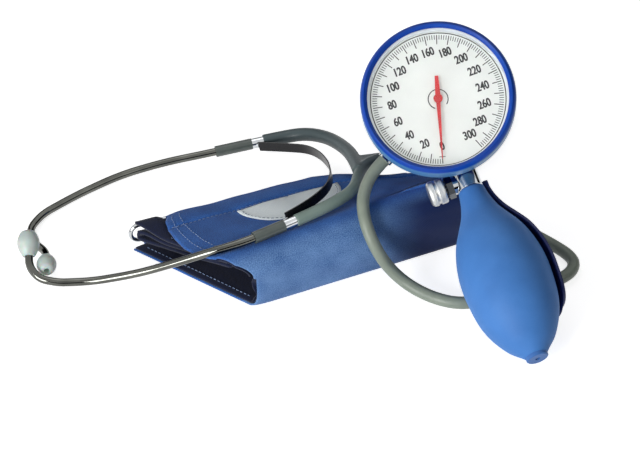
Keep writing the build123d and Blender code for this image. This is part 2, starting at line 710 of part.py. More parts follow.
def valve_needle():
    """The needle and its stem: the tip closes the side passage, the far end carries the knob."""
    tip = Pos(0, 0, NECK_BORE + 1.0) * Cone(0.3, 1.45, 1.8, align=(Align.CENTER, Align.CENTER, Align.MIN))
    neck = disc(1.45, NECK_BORE + 2.8, NECK_RADIUS - 3.0)
    stem = disc(STEM_RADIUS, NECK_RADIUS - 3.0, knob_start() + KNOB_LENGTH - 3.0)
    return on_valve_axis(tip + neck + stem)


def release_knob():
    barrel = disc(KNOB_RADIUS, 0, KNOB_LENGTH)
    barrel = fillet(barrel.edges().group_by(Axis.Z)[-1], 2.2)
    barrel = chamfer(barrel.edges().group_by(Axis.Z)[0], 0.5)
    groove = ring(KNOB_RADIUS + 1, KNOB_RADIUS - 0.6, KNOB_LENGTH * 0.42, KNOB_LENGTH * 0.58)
    flute = Rectangle(0.7, 0.7)
    cuts = Sketch()
    for k in range(KNOB_FLUTES):
        cuts += Rotation(0, 0, 360 * k / KNOB_FLUTES) * Pos(KNOB_RADIUS, 0) * Rotation(0, 0, 45) * flute
    barrel -= extrude(cuts, KNOB_LENGTH - 1.8)
    barrel -= groove
    barrel = Pos(0, 0, knob_start()) * barrel
    return on_valve_axis(barrel - disc(STEM_RADIUS + RUN, 0, knob_start() + KNOB_LENGTH - 3.0 + RUN))


def bulb_outline():
    """Radius of the bulb at distances down its length, both as shares of its greatest size."""
    shares = [(0.0, 0.300), (0.069, 0.352), (0.143, 0.457), (0.217, 0.628), (0.286, 0.785), (0.354, 0.887),
              (0.428, 0.960), (0.51, 0.998), (0.60, 0.992), (0.71, 0.945), (0.79, 0.857), (0.858, 0.729),
              (0.926, 0.550), (0.975, 0.345), (1.0, 0.235)]
    return [(neck_end() + 0.1 + a * BULB_LENGTH, b * BULB_RADIUS) for a, b in shares]


def bulb_end():
    return neck_end() + 0.1 + BULB_LENGTH


def rubber_bulb():
    points = [(r, -s) for s, r in bulb_outline()]
    skin = Spline(*points)
    wall = [(max(r - BULB_WALL, 0), -s) for s, r in bulb_outline()]
    cavity = Spline(*wall[2:-2])
    outer = make_face([skin, Polyline(points[-1], (0, points[-1][1]), (0, points[0][1]), points[0])])
    first, last = wall[2], wall[-3]
    inner = make_face([cavity, Polyline(last, (0, last[1]), (0, first[1]), first)])
    solid = revolve(outer, Axis.Y) - revolve(inner, Axis.Y)
    solid -= along_handle(NIPPLE_RADIUS, neck_end() - 1, neck_end() + BULB_LENGTH / 2)
    return solid - along_handle(END_STEM_RADIUS, bulb_end() - 1.5 * END_STEM_LENGTH, bulb_end() + 1)


def end_valve_body():
    """The inlet valve in the bulb's end: its flange shows, and its ball opens inwards."""
    stem = along_handle(END_STEM_RADIUS, bulb_end() - END_STEM_LENGTH, bulb_end())
    flange = along_handle(END_FLANGE_RADIUS, bulb_end(), bulb_end() + END_FLANGE)
    flange = chamfer(flange.edges().group_by(Axis.Y)[0], 0.6)
    body = stem + flange
    body -= along_handle(INLET_HOLE, bulb_end() - 1, bulb_end() + END_FLANGE)
    return body - along_handle(INLET_BALL + 0.4, bulb_end() - END_STEM_LENGTH, bulb_end())


def inlet_ball():
    middle = ball_rest(INLET_BALL, INLET_HOLE, bulb_end())
    return Pos(0, -middle, 0) * Sphere(INLET_BALL)


def inlet_retainer():
    start = bulb_end() - END_STEM_LENGTH
    plug = along_handle(INLET_BALL + 0.4, start, start + 1.5)
    return plug - along_handle(INLET_HOLE, start, start + 1.5)


def towards_spoon(shape):
    """Lays a shape built along z on a line out of the neck, under the middle of the spoon's blade."""
    middle = neck_end() - TAB_LENGTH / 2
    return Pos(0, -middle, 0) * Rotation(0, 90 - SPOON_TURN, 0) * shape


def spoon_outside():
    return bulb_outline()[0][1] + SPOON_GAP + SPOON_THICKNESS


def screw_foot():
    return NECK_RADIUS - 2.5


def palm_spoon():
    """A curved blade behind the bulb, on a tab that is screwed to the neck."""
    near = SPOON_GAP
    far = SPOON_GAP + SPOON_THICKNESS
    rows = [(s, r) for s, r in bulb_outline() if s < neck_end() + SPOON_REACH + 14]
    rows.insert(0, (neck_end() - TAB_LENGTH / 2, rows[0][1]))
    inner = [(r + near, -s) for s, r in rows]
    outer = [(r + far, -s) for s, r in rows]
    blade = make_face([Spline(*inner), Line(inner[-1], outer[-1]), Spline(*outer), Line(outer[0], inner[0])])
    blade = revolve(blade, Axis.Y, revolution_arc=SPOON_ARC)
    blade = Rotation(0, -SPOON_TURN - SPOON_ARC / 2, 0) * blade
    middle = neck_end() + SPOON_REACH - SPOON_WIDTH / 2
    top = TAB_LENGTH - neck_end()
    window = Pos(0, -middle) * Circle(SPOON_WIDTH / 2)
    window += make_face(Polyline((-SPOON_WIDTH / 2, -middle), (SPOON_WIDTH / 2, -middle),
                                 (TAB_WIDTH / 2, top), (-TAB_WIDTH / 2, top), close=True))
    cutter = Rotation(0, 90 - SPOON_TURN, 0) * extrude(window, 60)
    outside = spoon_outside()
    tab = Pos(0, 0, outside / 2) * Box(TAB_WIDTH, TAB_LENGTH, outside)
    shape = (blade & cutter) + towards_spoon(tab)
    shape -= along_handle(NECK_RADIUS + RUN, 0, neck_end())
    return shape - towards_spoon(disc(SPOON_SCREW_RADIUS, 0, outside + 1))


def spoon_screw():
    seat = spoon_outside()
    shape = disc(SPOON_SCREW_RADIUS, screw_foot(), seat) + disc(2 * SPOON_SCREW_RADIUS, seat, seat + 1.2)
    return towards_spoon(shape - Pos(0, 0, seat + 1.1) * Box(6, 0.6, 0.8))


# Cuff

def cuff_sizes(along):
    """Depth, front height and fall of the top at one place along the front fold."""
    share = along / CUFF_LENGTH
    depth = CUFF_DEPTH_LEFT + (CUFF_DEPTH_RIGHT - CUFF_DEPTH_LEFT) * share
    front = CUFF_FRONT_LEFT + (CUFF_FRONT_RIGHT - CUFF_FRONT_LEFT) * share
    back = CUFF_BACK_LEFT + (CUFF_BACK_RIGHT - CUFF_BACK_LEFT) * share
    return depth, front, (front - back) / (depth - FOLD_TOP_ROUND)


def cuff_top(along, across, inset):
    """Height of the sloping top, some way inside its skin."""
    depth, front, slope = cuff_sizes(along)
    return front + slope * (FOLD_TOP_ROUND - across) - inset


def across_cuff(along, face):
    """Stands a flat (depth, height) face up across the cuff."""
    return Plane(origin=(along, 0, 0), x_dir=(0, 1, 0), z_dir=(1, 0, 0)) * face


def cuff_profile(along, inset):
    """The cuff's outline across its front fold, some way inside its skin."""
    end = cuff_sizes(along)[0] + CUFF_SPARE
    low = inset - SOLE
    corners = [(end, low), (inset, low), (inset, cuff_top(along, inset, inset)), (end, cuff_top(along, end, inset))]
    edge = FilletPolyline(*corners, radius=[FOLD_LOW_ROUND - inset, FOLD_TOP_ROUND - inset])
    return across_cuff(along, make_face([edge, Line(corners[-1], corners[0])]))


def cuff_block(inset):
    return loft([cuff_profile(along, inset) for along in CUFF_STATIONS], ruled=True)


def flap_slab(near, far, top, bottom):
    """A flat layer under the sloping top, between two depths and two insets."""
    faces = []
    for along in CUFF_STATIONS:
        edge = [(near, top), (far, top), (far, bottom), (near, bottom)]
        outline = Polyline(*[(p, cuff_top(along, p, inset)) for p, inset in edge], close=True)
        faces.append(across_cuff(along, make_face(outline)))
    return loft(faces, ruled=True)


def patch(start, end, near, far):
    """A fastening patch under the lowest leaf, between two places along the cuff."""
    middle = Pos((start + end) / 2, CUFF_DEPTH_LEFT / 2, CUFF_FRONT_RIGHT / 2)
    length = middle * Box(end - start, 2 * CUFF_DEPTH_LEFT, 2 * CUFF_FRONT_RIGHT)
    top = tail_under() + RUN
    return flap_slab(near, far, top, top + PATCH) & length


def cuff_footprint():
    """The cuff's plan: both ends cut on the skew, and the back corner on the right cut away."""
    outline = Polyline((0, 0), (0, -CLOTH), (CUFF_LENGTH, -CLOTH), (CUFF_LENGTH, 0), CUFF_BACK_CUT[1],
                       CUFF_BACK_CUT[0], (CUFF_SKEW_LEFT, CUFF_DEPTH_LEFT), close=True)
    return extrude(make_face(outline), 2 * CUFF_FRONT_RIGHT)


def wall():
    """How deep the three layers of the cuff's wall are together."""
    return 2 * CLOTH + BLADDER


def cuff_layers():
    foot = cuff_footprint()
    skins = [cuff_block(inset) for inset in (0.0, CLOTH, CLOTH + BLADDER, wall())]
    outer = (skins[0] - skins[1]) & foot
    bladder = (skins[1] - skins[2]) & foot
    lining = (skins[2] - skins[3]) & foot
    return outer, bladder, lining - disc(SOCKET_BOSS, 0, wall() + 1, *socket_boss())


def cuff_tail():
    """The cuff's long end, folded to and fro under the top in joined leaves."""
    tail = None
    for k in range(TAIL_LEAVES):
        high = wall() + GAP + k * (LEAF + GAP)
        leaf = flap_slab(TAIL_FRONT, TAIL_BACK, high, high + LEAF)
        tail = leaf if tail is None else tail + leaf
        if k:
            tail += flap_slab(TAIL_FRONT, TAIL_FRONT + LEAF, high - GAP - LEAF / 2, high + LEAF / 2)
    return tail & cuff_footprint()


def tail_under():
    return wall() + TAIL_LEAVES * (LEAF + GAP)


def hook_patch():
    return patch(*HOOK_PATCH)


def loop_patch():
    return patch(*LOOP_PATCH)


def cuff_label():
    """A half ellipse sewn on the top, its straight edge towards the back."""
    front_half = Pos(0, -LABEL_HALF[1]) * Rectangle(2 * LABEL_HALF[0], 2 * LABEL_HALF[1])
    plan = Pos(*LABEL_CENTRE) * (Ellipse(*LABEL_HALF) & front_half)
    skin = cuff_block(-LABEL_THICKNESS) - cuff_block(-RUN)
    return skin & Pos(0, 0, CLOTH) * extrude(plan, 2 * CUFF_FRONT_RIGHT)


def ring_place():
    """Where the pull ring hinges: x along its lower bar, y away from the cuff's back."""
    back = CUFF_BACK_CUT[0]
    turn = math.degrees(math.atan2(back[1] - CUFF_DEPTH_LEFT, back[0] - CUFF_SKEW_LEFT))
    return Location((CUFF_SKEW_LEFT, CUFF_DEPTH_LEFT, RING_AXIS)) * Rotation(0, 0, turn) * Pos(0, RING_BEHIND, 0)


def pull_ring():
    """A long wire ring that stands on edge behind the cuff. The cuff's end is drawn through it."""
    r = RING_RISE / 2
    corners = [(r, 0, 0), (RING_LENGTH - r, 0, 0), (RING_LENGTH - r, 0, RING_RISE), (r, 0, RING_RISE)]
    path = Curve() + [Line(corners[0], corners[1]), ThreePointArc(corners[1], (RING_LENGTH, 0, r), corners[2]),
                      Line(corners[2], corners[3]), ThreePointArc(corners[3], (0, 0, r), corners[0])]
    return sweep(Plane(origin=corners[0], z_dir=(1, 0, 0)) * Circle(RING_WIRE), path=path)


def ring_sleeve():
    """The cloth sleeve that holds the ring's lower bar, sewn to the cuff's back."""
    start = RING_RISE / 2 + SLEEVE_INSET
    length = RING_LENGTH - 2 * start
    tube_part = Pos(start, 0, 0) * Rotation(0, 90, 0) * disc(SLEEVE_RADIUS, 0, length)
    tongue = Pos(start + length / 2, -RING_BEHIND / 2, 0) * Box(length, RING_BEHIND, CLOTH)
    shape = tube_part + tongue
    return shape - Rotation(0, 90, 0) * disc(RING_WIRE + RUN, 0, RING_LENGTH)


def socket_end():
    """How far along the cuff the hose meets its socket."""
    return socket_start() + SOCKET_LENGTH


def socket_start():
    x1, y1 = CUFF_BACK_CUT[1]
    rim = CUFF_LENGTH + (x1 - CUFF_LENGTH) * SOCKET_DEPTH_IN / y1
    return rim + SOCKET_PROUD - SOCKET_LENGTH


def socket_boss():
    return socket_start() + SOCKET_RADIUS, SOCKET_DEPTH_IN


def along_socket(radius, start, end):
    """A round bar on the socket's line, between two places along the cuff."""
    return Pos(0, SOCKET_DEPTH_IN, SOCKET_HEIGHT) * Rotation(0, 90, 0) * disc(radius, start, end)


def hose_socket():
    """The bladder's outlet, with a nipple inside the hose."""
    foot = CLOTH + BLADDER - SOLE
    boss = disc(SOCKET_BOSS, foot, SOCKET_HEIGHT, *socket_boss())
    nipple = along_socket(HOSE_BORE - RUN, socket_end(), socket_end() + NIPPLE_IN_HOSE)
    body = along_socket(SOCKET_RADIUS, socket_start(), socket_end()) + boss + nipple
    body -= along_socket(AIR_WAY, socket_boss()[0], socket_end() + NIPPLE_IN_HOSE)
    return body - disc(AIR_WAY, foot, SOCKET_HEIGHT, *socket_boss())


# Air hose and stethoscope, in the whole object's frame

def air_hose():
    """From the gauge's port, down in front of the cuff, round the bulb and back into the cuff's end."""
    out = gauge_place() * Pos(*(port_direction() * HOSE_START + Vector(0, 0, PORT_LEVEL)))
    away = gauge_place() * Pos(*(port_direction() * (HOSE_START + HOSE_EXIT) + Vector(0, 0, PORT_LEVEL)))
    end = cuff_place() * Pos(socket_end(), SOCKET_DEPTH_IN, SOCKET_HEIGHT)
    before = cuff_place() * Pos(socket_end() + HOSE_EXIT, SOCKET_DEPTH_IN, SOCKET_HEIGHT)
    points = [tuple(out.position), tuple(away.position), *HOSE_ROUTE, tuple(before.position), tuple(end.position)]
    return tube("air_hose", points, HOSE_RADIUS, HOSE_BORE)


def beyond(start, end, reach):
    """A point further along the line from one point to another, past the other by some reach."""
    way = (Vector(*end) - Vector(*start)).normalized()
    return tuple(Vector(*end) + way * reach)


def y_tube():
    """The rubber fork: the near arm, the stem and the stub that the far arm works on."""
    start = beyond(*NEAR_BRACKET, COLLAR_LENGTH)
    body = tube("near arm", [start, beyond(*NEAR_BRACKET, COLLAR_LENGTH + ARM_STRAIGHT), *NEAR_ARM, FORK, *STEM],
                ARM_RADIUS)
    body -= arm_bore(NEAR_BRACKET)
    body -= rod(AIR_WAY, STEM[0], beyond(*STEM, ARM_RADIUS))
    stub = tube("far stub", [FORK, *reversed(FAR_ARM)], ARM_RADIUS) & Pos(*FORK) * Sphere(FORK_BALL)
    swell = Pos(*FORK) * Rotation(35, 20, 0) * Sphere(FORK_SWELL)
    return body + stub + swell


def arm_bore(bracket):
    """The hole for an ear tube in a rubber arm's end."""
    start = beyond(*bracket, COLLAR_LENGTH - 1)
    return rod(EAR_TUBE_RADIUS + RUN, start, beyond(*bracket, COLLAR_LENGTH + ARM_GRIP))


def y_far_arm():
    """The far arm, which turns at the fork as the ear tubes are drawn apart."""
    start = beyond(*FAR_BRACKET, COLLAR_LENGTH)
    points = [start, beyond(*FAR_BRACKET, COLLAR_LENGTH + ARM_STRAIGHT), *FAR_ARM, FORK]
    arm = tube("far arm", points, ARM_RADIUS)
    return arm - Pos(*FORK) * Sphere(FORK_BALL + GAP) - arm_bore(FAR_BRACKET)


def ear_tube(name, route, bracket):
    """A bent metal tube from inside its ear tip to inside its rubber arm."""
    points = [*route, bracket[0], beyond(*bracket, COLLAR_LENGTH + ARM_GRIP - GAP)]
    return tube(name, points, EAR_TUBE_RADIUS, EAR_TUBE_BORE)


def near_ear_tube():
    return ear_tube("near_ear_tube", NEAR_TUBE, NEAR_BRACKET)


def far_ear_tube():
    return ear_tube("far_ear_tube", FAR_TUBE, FAR_BRACKET)


def bracket_sleeve(bracket):
    start, end = bracket
    outer = beyond(end, start, -SLEEVE_FROM_BEND)
    return rod(EAR_TUBE_RADIUS + SLEEVE_WALL, outer, end) - rod(EAR_TUBE_RADIUS + RUN, start, end)


def collar(bracket, lug_end):
    """A chrome collar with the lug that the spring's end lies on."""
    start, end = bracket
    face = beyond(start, end, COLLAR_LENGTH)
    middle = beyond(start, end, COLLAR_LENGTH / 2)
    shape = rod(COLLAR_RADIUS, end, face) + rod(LUG_RADIUS, middle, lug_end)
    return shape - rod(EAR_TUBE_RADIUS + RUN, start, beyond(start, face, 1))


def spring_plane():
    """The plane that the strap is bent in, with x from its far end to its near end."""
    ends = Vector(*SPRING_NEAR) - Vector(*SPRING_FAR)
    normal = (Vector(*SPRING_UP) - Vector(*SPRING_FAR)).cross(ends)
    return Plane(origin=SPRING_FAR, x_dir=ends, z_dir=normal)


def leaf_spring():
    """A flat strap, bent on its thin side, that draws the two ear tubes together."""
    line = FilletPolyline(*SPRING_ROUTE, radius=turn_radii([(x, y, 0) for x, y in SPRING_ROUTE]))
    start = line @ 0
    side = line % 0
    across = Vector(-side.Y, side.X, 0) * (STRAP_THICKNESS / 2)
    strip = sweep(Line(start - across, start + across), path=line)
    return spring_plane() * extrude(strip, STRAP_WIDTH / 2, both=True)


def ear_tip(route, radius, length):
    """A soft hollow plug on the ear tube's end, rounder outside and flat where the tube goes in."""
    mouth, after = Vector(*route[0]), Vector(*route[1])
    out = (mouth - after).normalized()
    half = length / 2
    outline = [Line((0, -half), (0.55 * radius, -half)),
               Spline((0.55 * radius, -half), (0.93 * radius, -0.35 * half), (radius, 0.05 * half),
                      (0.8 * radius, 0.66 * half), (0, half), tangents=((0.6, 0.8), (-1, 0))),
               Line((0, half), (0, -half))]
    plug = revolve(upright(make_face(outline)), Axis.Z)
    plug -= disc(EAR_TUBE_RADIUS + RUN, -half, TIP_GRIP - half)
    plug -= disc(EAR_TUBE_BORE, -half, half)
    return Plane(origin=mouth + out * (half - TIP_GRIP + RUN), z_dir=out) * plug


def coil_point(turn):
    """The coil's centre line: inwards at a steady rate, up one layer halfway, and outwards again."""
    half = COIL_TURNS / 2
    radius = COIL_OUTER - ACOUSTIC_RADIUS - COIL_PITCH * min(turn, COIL_TURNS - turn)
    climb = min(max((turn - half) / COIL_CLIMB + 0.5, 0.0), 1.0)
    height = ACOUSTIC_REST + COIL_PITCH * (1 - math.cos(math.pi * climb)) / 2
    angle = math.radians(COIL_START + 360 * turn)
    return Vector(COIL_CENTRE[0] + radius * math.cos(angle), COIL_CENTRE[1] + radius * math.sin(angle), height)


def coil_heading(turn):
    step = 1e-3
    return (coil_point(min(turn + step, COIL_TURNS)) - coil_point(max(turn - step, 0))).normalized()


def biarc(start, way_in, end, way_out):
    """Two arcs that meet smoothly, between two points with given headings."""
    gap = end - start
    both = way_in + way_out
    a = 2 * (1 - way_in.dot(way_out))
    b = 2 * gap.dot(both)
    reach = (-b + math.sqrt(b * b + 4 * a * gap.dot(gap))) / (2 * a)
    middle = (start + way_in * reach + end - way_out * reach) * 0.5
    return [TangentArc(start, middle, tangent=way_in), TangentArc(end, middle, tangent=-way_out)]


def coil_stations():
    return [COIL_TURNS * k / COIL_ARCS for k in range(COIL_ARCS + 1)]


def coil_entry(back=0.0):
    """The end of the coil's first straight, or a point some way back on its line."""
    return coil_point(0) - coil_heading(0) * (2 * ACOUSTIC_RADIUS + back)


def coil_exit(onward=0.0):
    """The end of the coil's last straight, or a point some way on along its line."""
    return coil_point(COIL_TURNS) + coil_heading(COIL_TURNS) * (2 * ACOUSTIC_RADIUS + onward)


def acoustic_coil():
    edges = [Line(coil_entry(), coil_point(0))]
    for turn, after in zip(coil_stations(), coil_stations()[1:]):
        edges += biarc(coil_point(turn), coil_heading(turn), coil_point(after), coil_heading(after))
    edges.append(Line(coil_point(COIL_TURNS), coil_exit()))
    path = Wire(edges)
    count = round(COIL_TURNS * 72)
    spots = [coil_point(COIL_TURNS * k / count) for k in range(count + 1)]
    near = min((a - b).length for k, a in enumerate(spots) for b in spots[k + 36:])
    print(f"acoustic_coil: length {path.length:.1f}, least gap to itself {near - 2 * ACOUSTIC_RADIUS:.2f}")
    section = Circle(ACOUSTIC_RADIUS) - Circle(ACOUSTIC_BORE)
    solid = sweep(Plane(origin=coil_entry(), z_dir=coil_heading(0)) * section, path=path)
    expected = math.pi * (ACOUSTIC_RADIUS ** 2 - ACOUSTIC_BORE ** 2) * path.length
    print(f"   volume {solid.volume / expected:.4f} of section times length")
    return solid


def acoustic_tube():
    """From the fork's stem down to the coil."""
    points = [STEM[-1], beyond(*STEM, ACOUSTIC_EXIT), *ACOUSTIC_ROUTE, tuple(coil_entry(ACOUSTIC_EXIT)),
              tuple(coil_entry())]
    return tube("acoustic_tube", points, ACOUSTIC_RADIUS, ACOUSTIC_BORE)


def acoustic_lead():
    """From the coil to the chest piece."""
    x, y = CHEST_CENTRE
    end = (x + stem_end(), y, CHEST_STEM_HEIGHT)
    before = (end[0] + ACOUSTIC_EXIT, y, CHEST_STEM_HEIGHT)
    points = [tuple(coil_exit()), tuple(coil_exit(ACOUSTIC_EXIT)), *LEAD_ROUTE, before, end]
    return tube("acoustic_lead", points, ACOUSTIC_RADIUS, ACOUSTIC_BORE)


def on_chest(shape):
    return Pos(CHEST_CENTRE[0], CHEST_CENTRE[1], CHEST_REST) * shape


def chest_body():
    """The chest piece's metal cup, lying on its membrane."""
    cup = disc(CHEST_RADIUS - RIM_WALL, RIM_LIP, CHEST_THICKNESS)
    cup = fillet(cup.edges().group_by(Axis.Z)[-1], CHEST_ROUND)
    cup -= Pos(0, 0, RIM_LIP) * Cone(CHEST_RADIUS - RIM_WALL - 2.0, STEM_TUBE, BOWL_DEPTH,
                                     align=(Align.CENTER, Align.CENTER, Align.MIN))
    return on_chest(cup - along_stem(STEM_TUBE, stem_root(), stem_end()))


def along_stem(radius, start, end):
    """A round bar on the stem's line, between two distances from the chest piece's middle."""
    return Pos(0, 0, CHEST_STEM_HEIGHT - CHEST_REST) * Rotation(0, 90, 0) * disc(radius, start, end)


def stem_root():
    return CHEST_RADIUS - STEM_INSIDE


def stem_end():
    return CHEST_RADIUS + CHEST_STEM


def chest_stem():
    """The chest piece's side stem, with a nipple inside its tube."""
    tip = stem_end() + NIPPLE_IN_HOSE
    shape = along_stem(STEM_TUBE, stem_root(), stem_end()) + along_stem(ACOUSTIC_BORE - RUN, stem_end(), tip)
    return on_chest(shape - along_stem(AIR_WAY, stem_root() - 1, tip))


def chest_rim():
    """The ring that holds the membrane on."""
    shape = ring(CHEST_RADIUS, CHEST_RADIUS - RIM_WALL, 0, RIM_HEIGHT)
    shape += ring(CHEST_RADIUS, CHEST_RADIUS - RIM_WALL - 1.2, 0, RIM_LIP - MEMBRANE)
    return on_chest(shape)


def chest_membrane():
    return on_chest(disc(CHEST_RADIUS - RIM_WALL, RIM_LIP - MEMBRANE, RIM_LIP))


def main():
    gauge = gauge_place()
    handle = handle_place()
    cuff = cuff_place()
    for make in (gauge_case, bezel_ring, lens_gasket, crystal_lens, dial_ring, dial_plate, pointer, pointer_shaft,
                 sector_gear, rocker, capsule_pusher, diaphragm_capsule, feed_pipe, movement_back_plate,
                 movement_front_plate, hairspring, hose_barb):
        save(make.__name__, gauge * make())
    save("movement_pillars", Compound(children=[gauge * p for p in movement_pillars()]))
    save("movement_screws", Compound(children=[gauge * p for p in movement_screws()]))
    for make in (valve_body, check_valve_seat, outlet_ball, valve_bush, valve_needle, release_knob, rubber_bulb,
                 end_valve_body, inlet_ball, inlet_retainer, palm_spoon, spoon_screw):
        save(make.__name__, handle * make())
    for name, layer in zip(("cuff_outer_cloth", "cuff_bladder", "cuff_lining"), cuff_layers()):
        save(name, cuff * layer)
    for make in (cuff_tail, hook_patch, loop_patch, cuff_label, hose_socket):
        save(make.__name__, cuff * make())
    for make in (pull_ring, ring_sleeve):
        save(make.__name__, cuff * ring_place() * make())
    for make in (air_hose, y_tube, y_far_arm, near_ear_tube, far_ear_tube, leaf_spring, acoustic_tube,
                 acoustic_coil, acoustic_lead, chest_body, chest_stem, chest_rim, chest_membrane):
        save(make.__name__, make())
    save("near_bracket_sleeve", bracket_sleeve(NEAR_BRACKET))
    save("far_bracket_sleeve", bracket_sleeve(FAR_BRACKET))
    save("near_collar", collar(NEAR_BRACKET, NEAR_LUG))
    save("far_collar", collar(FAR_BRACKET, FAR_LUG))
    save("near_ear_tip", ear_tip(NEAR_TUBE, TIP_RADIUS, TIP_LENGTH))
    save("far_ear_tip", ear_tip(FAR_TUBE, FAR_TIP_RADIUS, FAR_TIP_LENGTH))


main()
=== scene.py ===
# %% [markdown]
# # A blood pressure kit: gauge, bulb, cuff and stethoscope
# Its hard parts come from the solid model, which is loaded here as a fixed frame, and this lesson adds what
# Blender is good at: cloth, rubber, a printed scale, finishes, light and a camera. Blender counts in
# metres, and so does the studio here.

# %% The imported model
import math

import bmesh
import bpy
import numpy as np
from mathutils import Matrix, Vector


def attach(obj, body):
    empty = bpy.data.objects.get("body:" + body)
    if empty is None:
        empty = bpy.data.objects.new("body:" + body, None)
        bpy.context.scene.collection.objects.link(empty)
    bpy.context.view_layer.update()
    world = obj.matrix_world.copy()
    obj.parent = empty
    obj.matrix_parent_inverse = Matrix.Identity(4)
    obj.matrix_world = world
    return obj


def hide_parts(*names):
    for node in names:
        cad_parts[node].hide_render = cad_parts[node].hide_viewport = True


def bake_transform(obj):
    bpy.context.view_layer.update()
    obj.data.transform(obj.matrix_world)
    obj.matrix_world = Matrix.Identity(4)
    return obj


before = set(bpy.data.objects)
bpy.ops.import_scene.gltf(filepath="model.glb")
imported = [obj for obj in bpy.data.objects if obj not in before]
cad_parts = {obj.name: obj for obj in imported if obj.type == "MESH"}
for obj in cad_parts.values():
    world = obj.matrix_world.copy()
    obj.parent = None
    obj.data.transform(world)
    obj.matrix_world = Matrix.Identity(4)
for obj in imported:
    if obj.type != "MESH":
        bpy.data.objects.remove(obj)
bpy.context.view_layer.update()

MM = 0.001

# %% [markdown]
# ## Camera
# The photograph was fitted with one camera: it looks down at 40 degrees from 1.5 metres away, through a long
# lens, so upright edges stay nearly parallel. Its aim is the point of the table in the middle of the picture.

# %% Camera
LOOK_DOWN = math.radians(40)
CAMERA_DISTANCE = 1.5
CAMERA_AIM = Vector((11.3, 10.2, 0)) * MM


def linked(name, data):
    """A new object with its data, put into the scene."""
    made = bpy.data.objects.new(name, data)
    bpy.context.scene.collection.objects.link(made)
    return made


camera = linked("camera", bpy.data.cameras.new("camera"))
camera.data.lens = 148.0
camera.data.sensor_width = 36.0
camera.data.sensor_fit = "HORIZONTAL"
camera.data.clip_end = 20
back_and_up = Vector((0, -math.cos(LOOK_DOWN), math.sin(LOOK_DOWN)))
camera.location = CAMERA_AIM + back_and_up * CAMERA_DISTANCE
camera.rotation_euler = (math.pi / 2 - LOOK_DOWN, 0, 0)
bpy.context.scene.camera = camera
bpy.context.scene.view_settings.view_transform = "Standard"
print("camera at", tuple(round(x, 3) for x in camera.location))

# %% [markdown]
# ## Helpers
# A finish is one Principled shader whose colour drifts between two hex codes, as dye and paint do, with fine
# noise as its skin. Hex codes are turned into the linear values that a renderer adds up. A shape is a grid of
# points, worked out with numpy: neighbours in the grid share a face, and ends that meet are merged.

# %% Colours and finishes
def linear(code):
    """Undoes the sRGB curve of six hex digits, and adds full opacity."""
    share = np.array([int(code[k:k + 2], 16) for k in (0, 2, 4)]) / 255
    return (*np.where(share <= 0.04045, share / 12.92, ((share + 0.055) / 1.055) ** 2.4), 1.0)


def add(tree, kind, inputs=(), **settings):
    """Adds a shader node, sets its properties, and gives each input a value or a link from another socket."""
    made = tree.nodes.new("ShaderNode" + kind)
    for name, value in settings.items():
        setattr(made, name, value)
    for name, value in dict(inputs).items():
        if isinstance(value, bpy.types.NodeSocket):
            tree.links.new(value, made.inputs[name])
        else:
            made.inputs[name].default_value = value
    return made


def finish(name, **sockets):
    """Starts a finish: one Principled shader with its own sockets set. Gives material, tree and shader."""
    material = bpy.data.materials.new(name)
    material.use_nodes = True
    shader = material.node_tree.nodes["Principled BSDF"]
    for socket, value in sockets.items():
        shader.inputs[socket.replace("_", " ")].default_value = value
    return material, material.node_tree, shader


def mottle(tree, shader, codes, size, detail=3.0):
    """Lets the colour drift between two hex codes in soft patches of a size in millimetres. Gives the mix."""
    cloud = add(tree, "TexNoise", {"Vector": add(tree, "TexCoord").outputs["Object"],
                                   "Scale": 1 / (size * MM), "Detail": detail})
    spread = add(tree, "MapRange", {"Value": cloud.outputs["Fac"], "From Min": 0.3, "From Max": 0.7})
    mix = add(tree, "Mix", {0: spread.outputs[0], 6: linear(codes[0]), 7: linear(codes[1])},
              data_type="RGBA")
    tree.links.new(mix.outputs[2], shader.inputs["Base Color"])
    return mix


def grain(tree, shader, size, depth, low, high):
    """A moulded or worn skin: fine noise, its size and depth in millimetres, as bumps, and the same noise as
    a change of gloss from one roughness to another."""
    noise = add(tree, "TexNoise", {"Vector": add(tree, "TexCoord").outputs["Object"],
                                   "Scale": 1 / (size * MM), "Detail": 4.0})
    bump = add(tree, "Bump", {"Height": noise.outputs["Fac"], "Distance": depth * MM, "Strength": 1.0})
    tree.links.new(bump.outputs["Normal"], shader.inputs["Normal"])
    gloss = add(tree, "MapRange", {"Value": noise.outputs["Fac"], "From Min": 0.3, "From Max": 0.7,
                                   "To Min": low, "To Max": high})
    tree.links.new(gloss.outputs[0], shader.inputs["Roughness"])


def coat(name, codes, patch, skin=None, **sockets):
    """A finish in one call: two colours, the size of their patches, the numbers of grain, and sockets."""
    material, tree, shader = finish(name, **sockets)
    mottle(tree, shader, codes, patch)
    if skin:
        grain(tree, shader, *skin)
    return material


def dress(material, nodes):
    """Gives nodes of the solid model one finish all over."""
    for node in nodes.split():
        mesh = bpy.data.objects[node].data
        mesh.materials.clear()
        mesh.materials.append(material)


# %% Meshes from grids of points
def smooth_line(points, steps):
    """A curve through given points: between two of them a cubic whose slopes come from the neighbours."""
    points = np.array(points, float)
    slope = np.gradient(points, axis=0)
    t = np.linspace(0, 1, steps, endpoint=False)[None, :, None]
    a, b, ma, mb = points[:-1, None], points[1:, None], slope[:-1, None], slope[1:, None]
    cubic = (a * (2 * t**3 - 3 * t**2 + 1) + ma * (t**3 - 2 * t**2 + t) + b * (3 * t**2 - 2 * t**3)
             + mb * (t**3 - t**2))
    return np.vstack([cubic.reshape(-1, points.shape[1]), points[-1]])


def mesh_piece(name, points, faces):
    """An object from points in metres and from faces, which are lists of point numbers."""
    mesh = bpy.data.meshes.new(name)
    mesh.from_pydata(np.reshape(points, (-1, 3)).tolist(), [], np.array(faces).tolist())
    return linked(name, mesh)


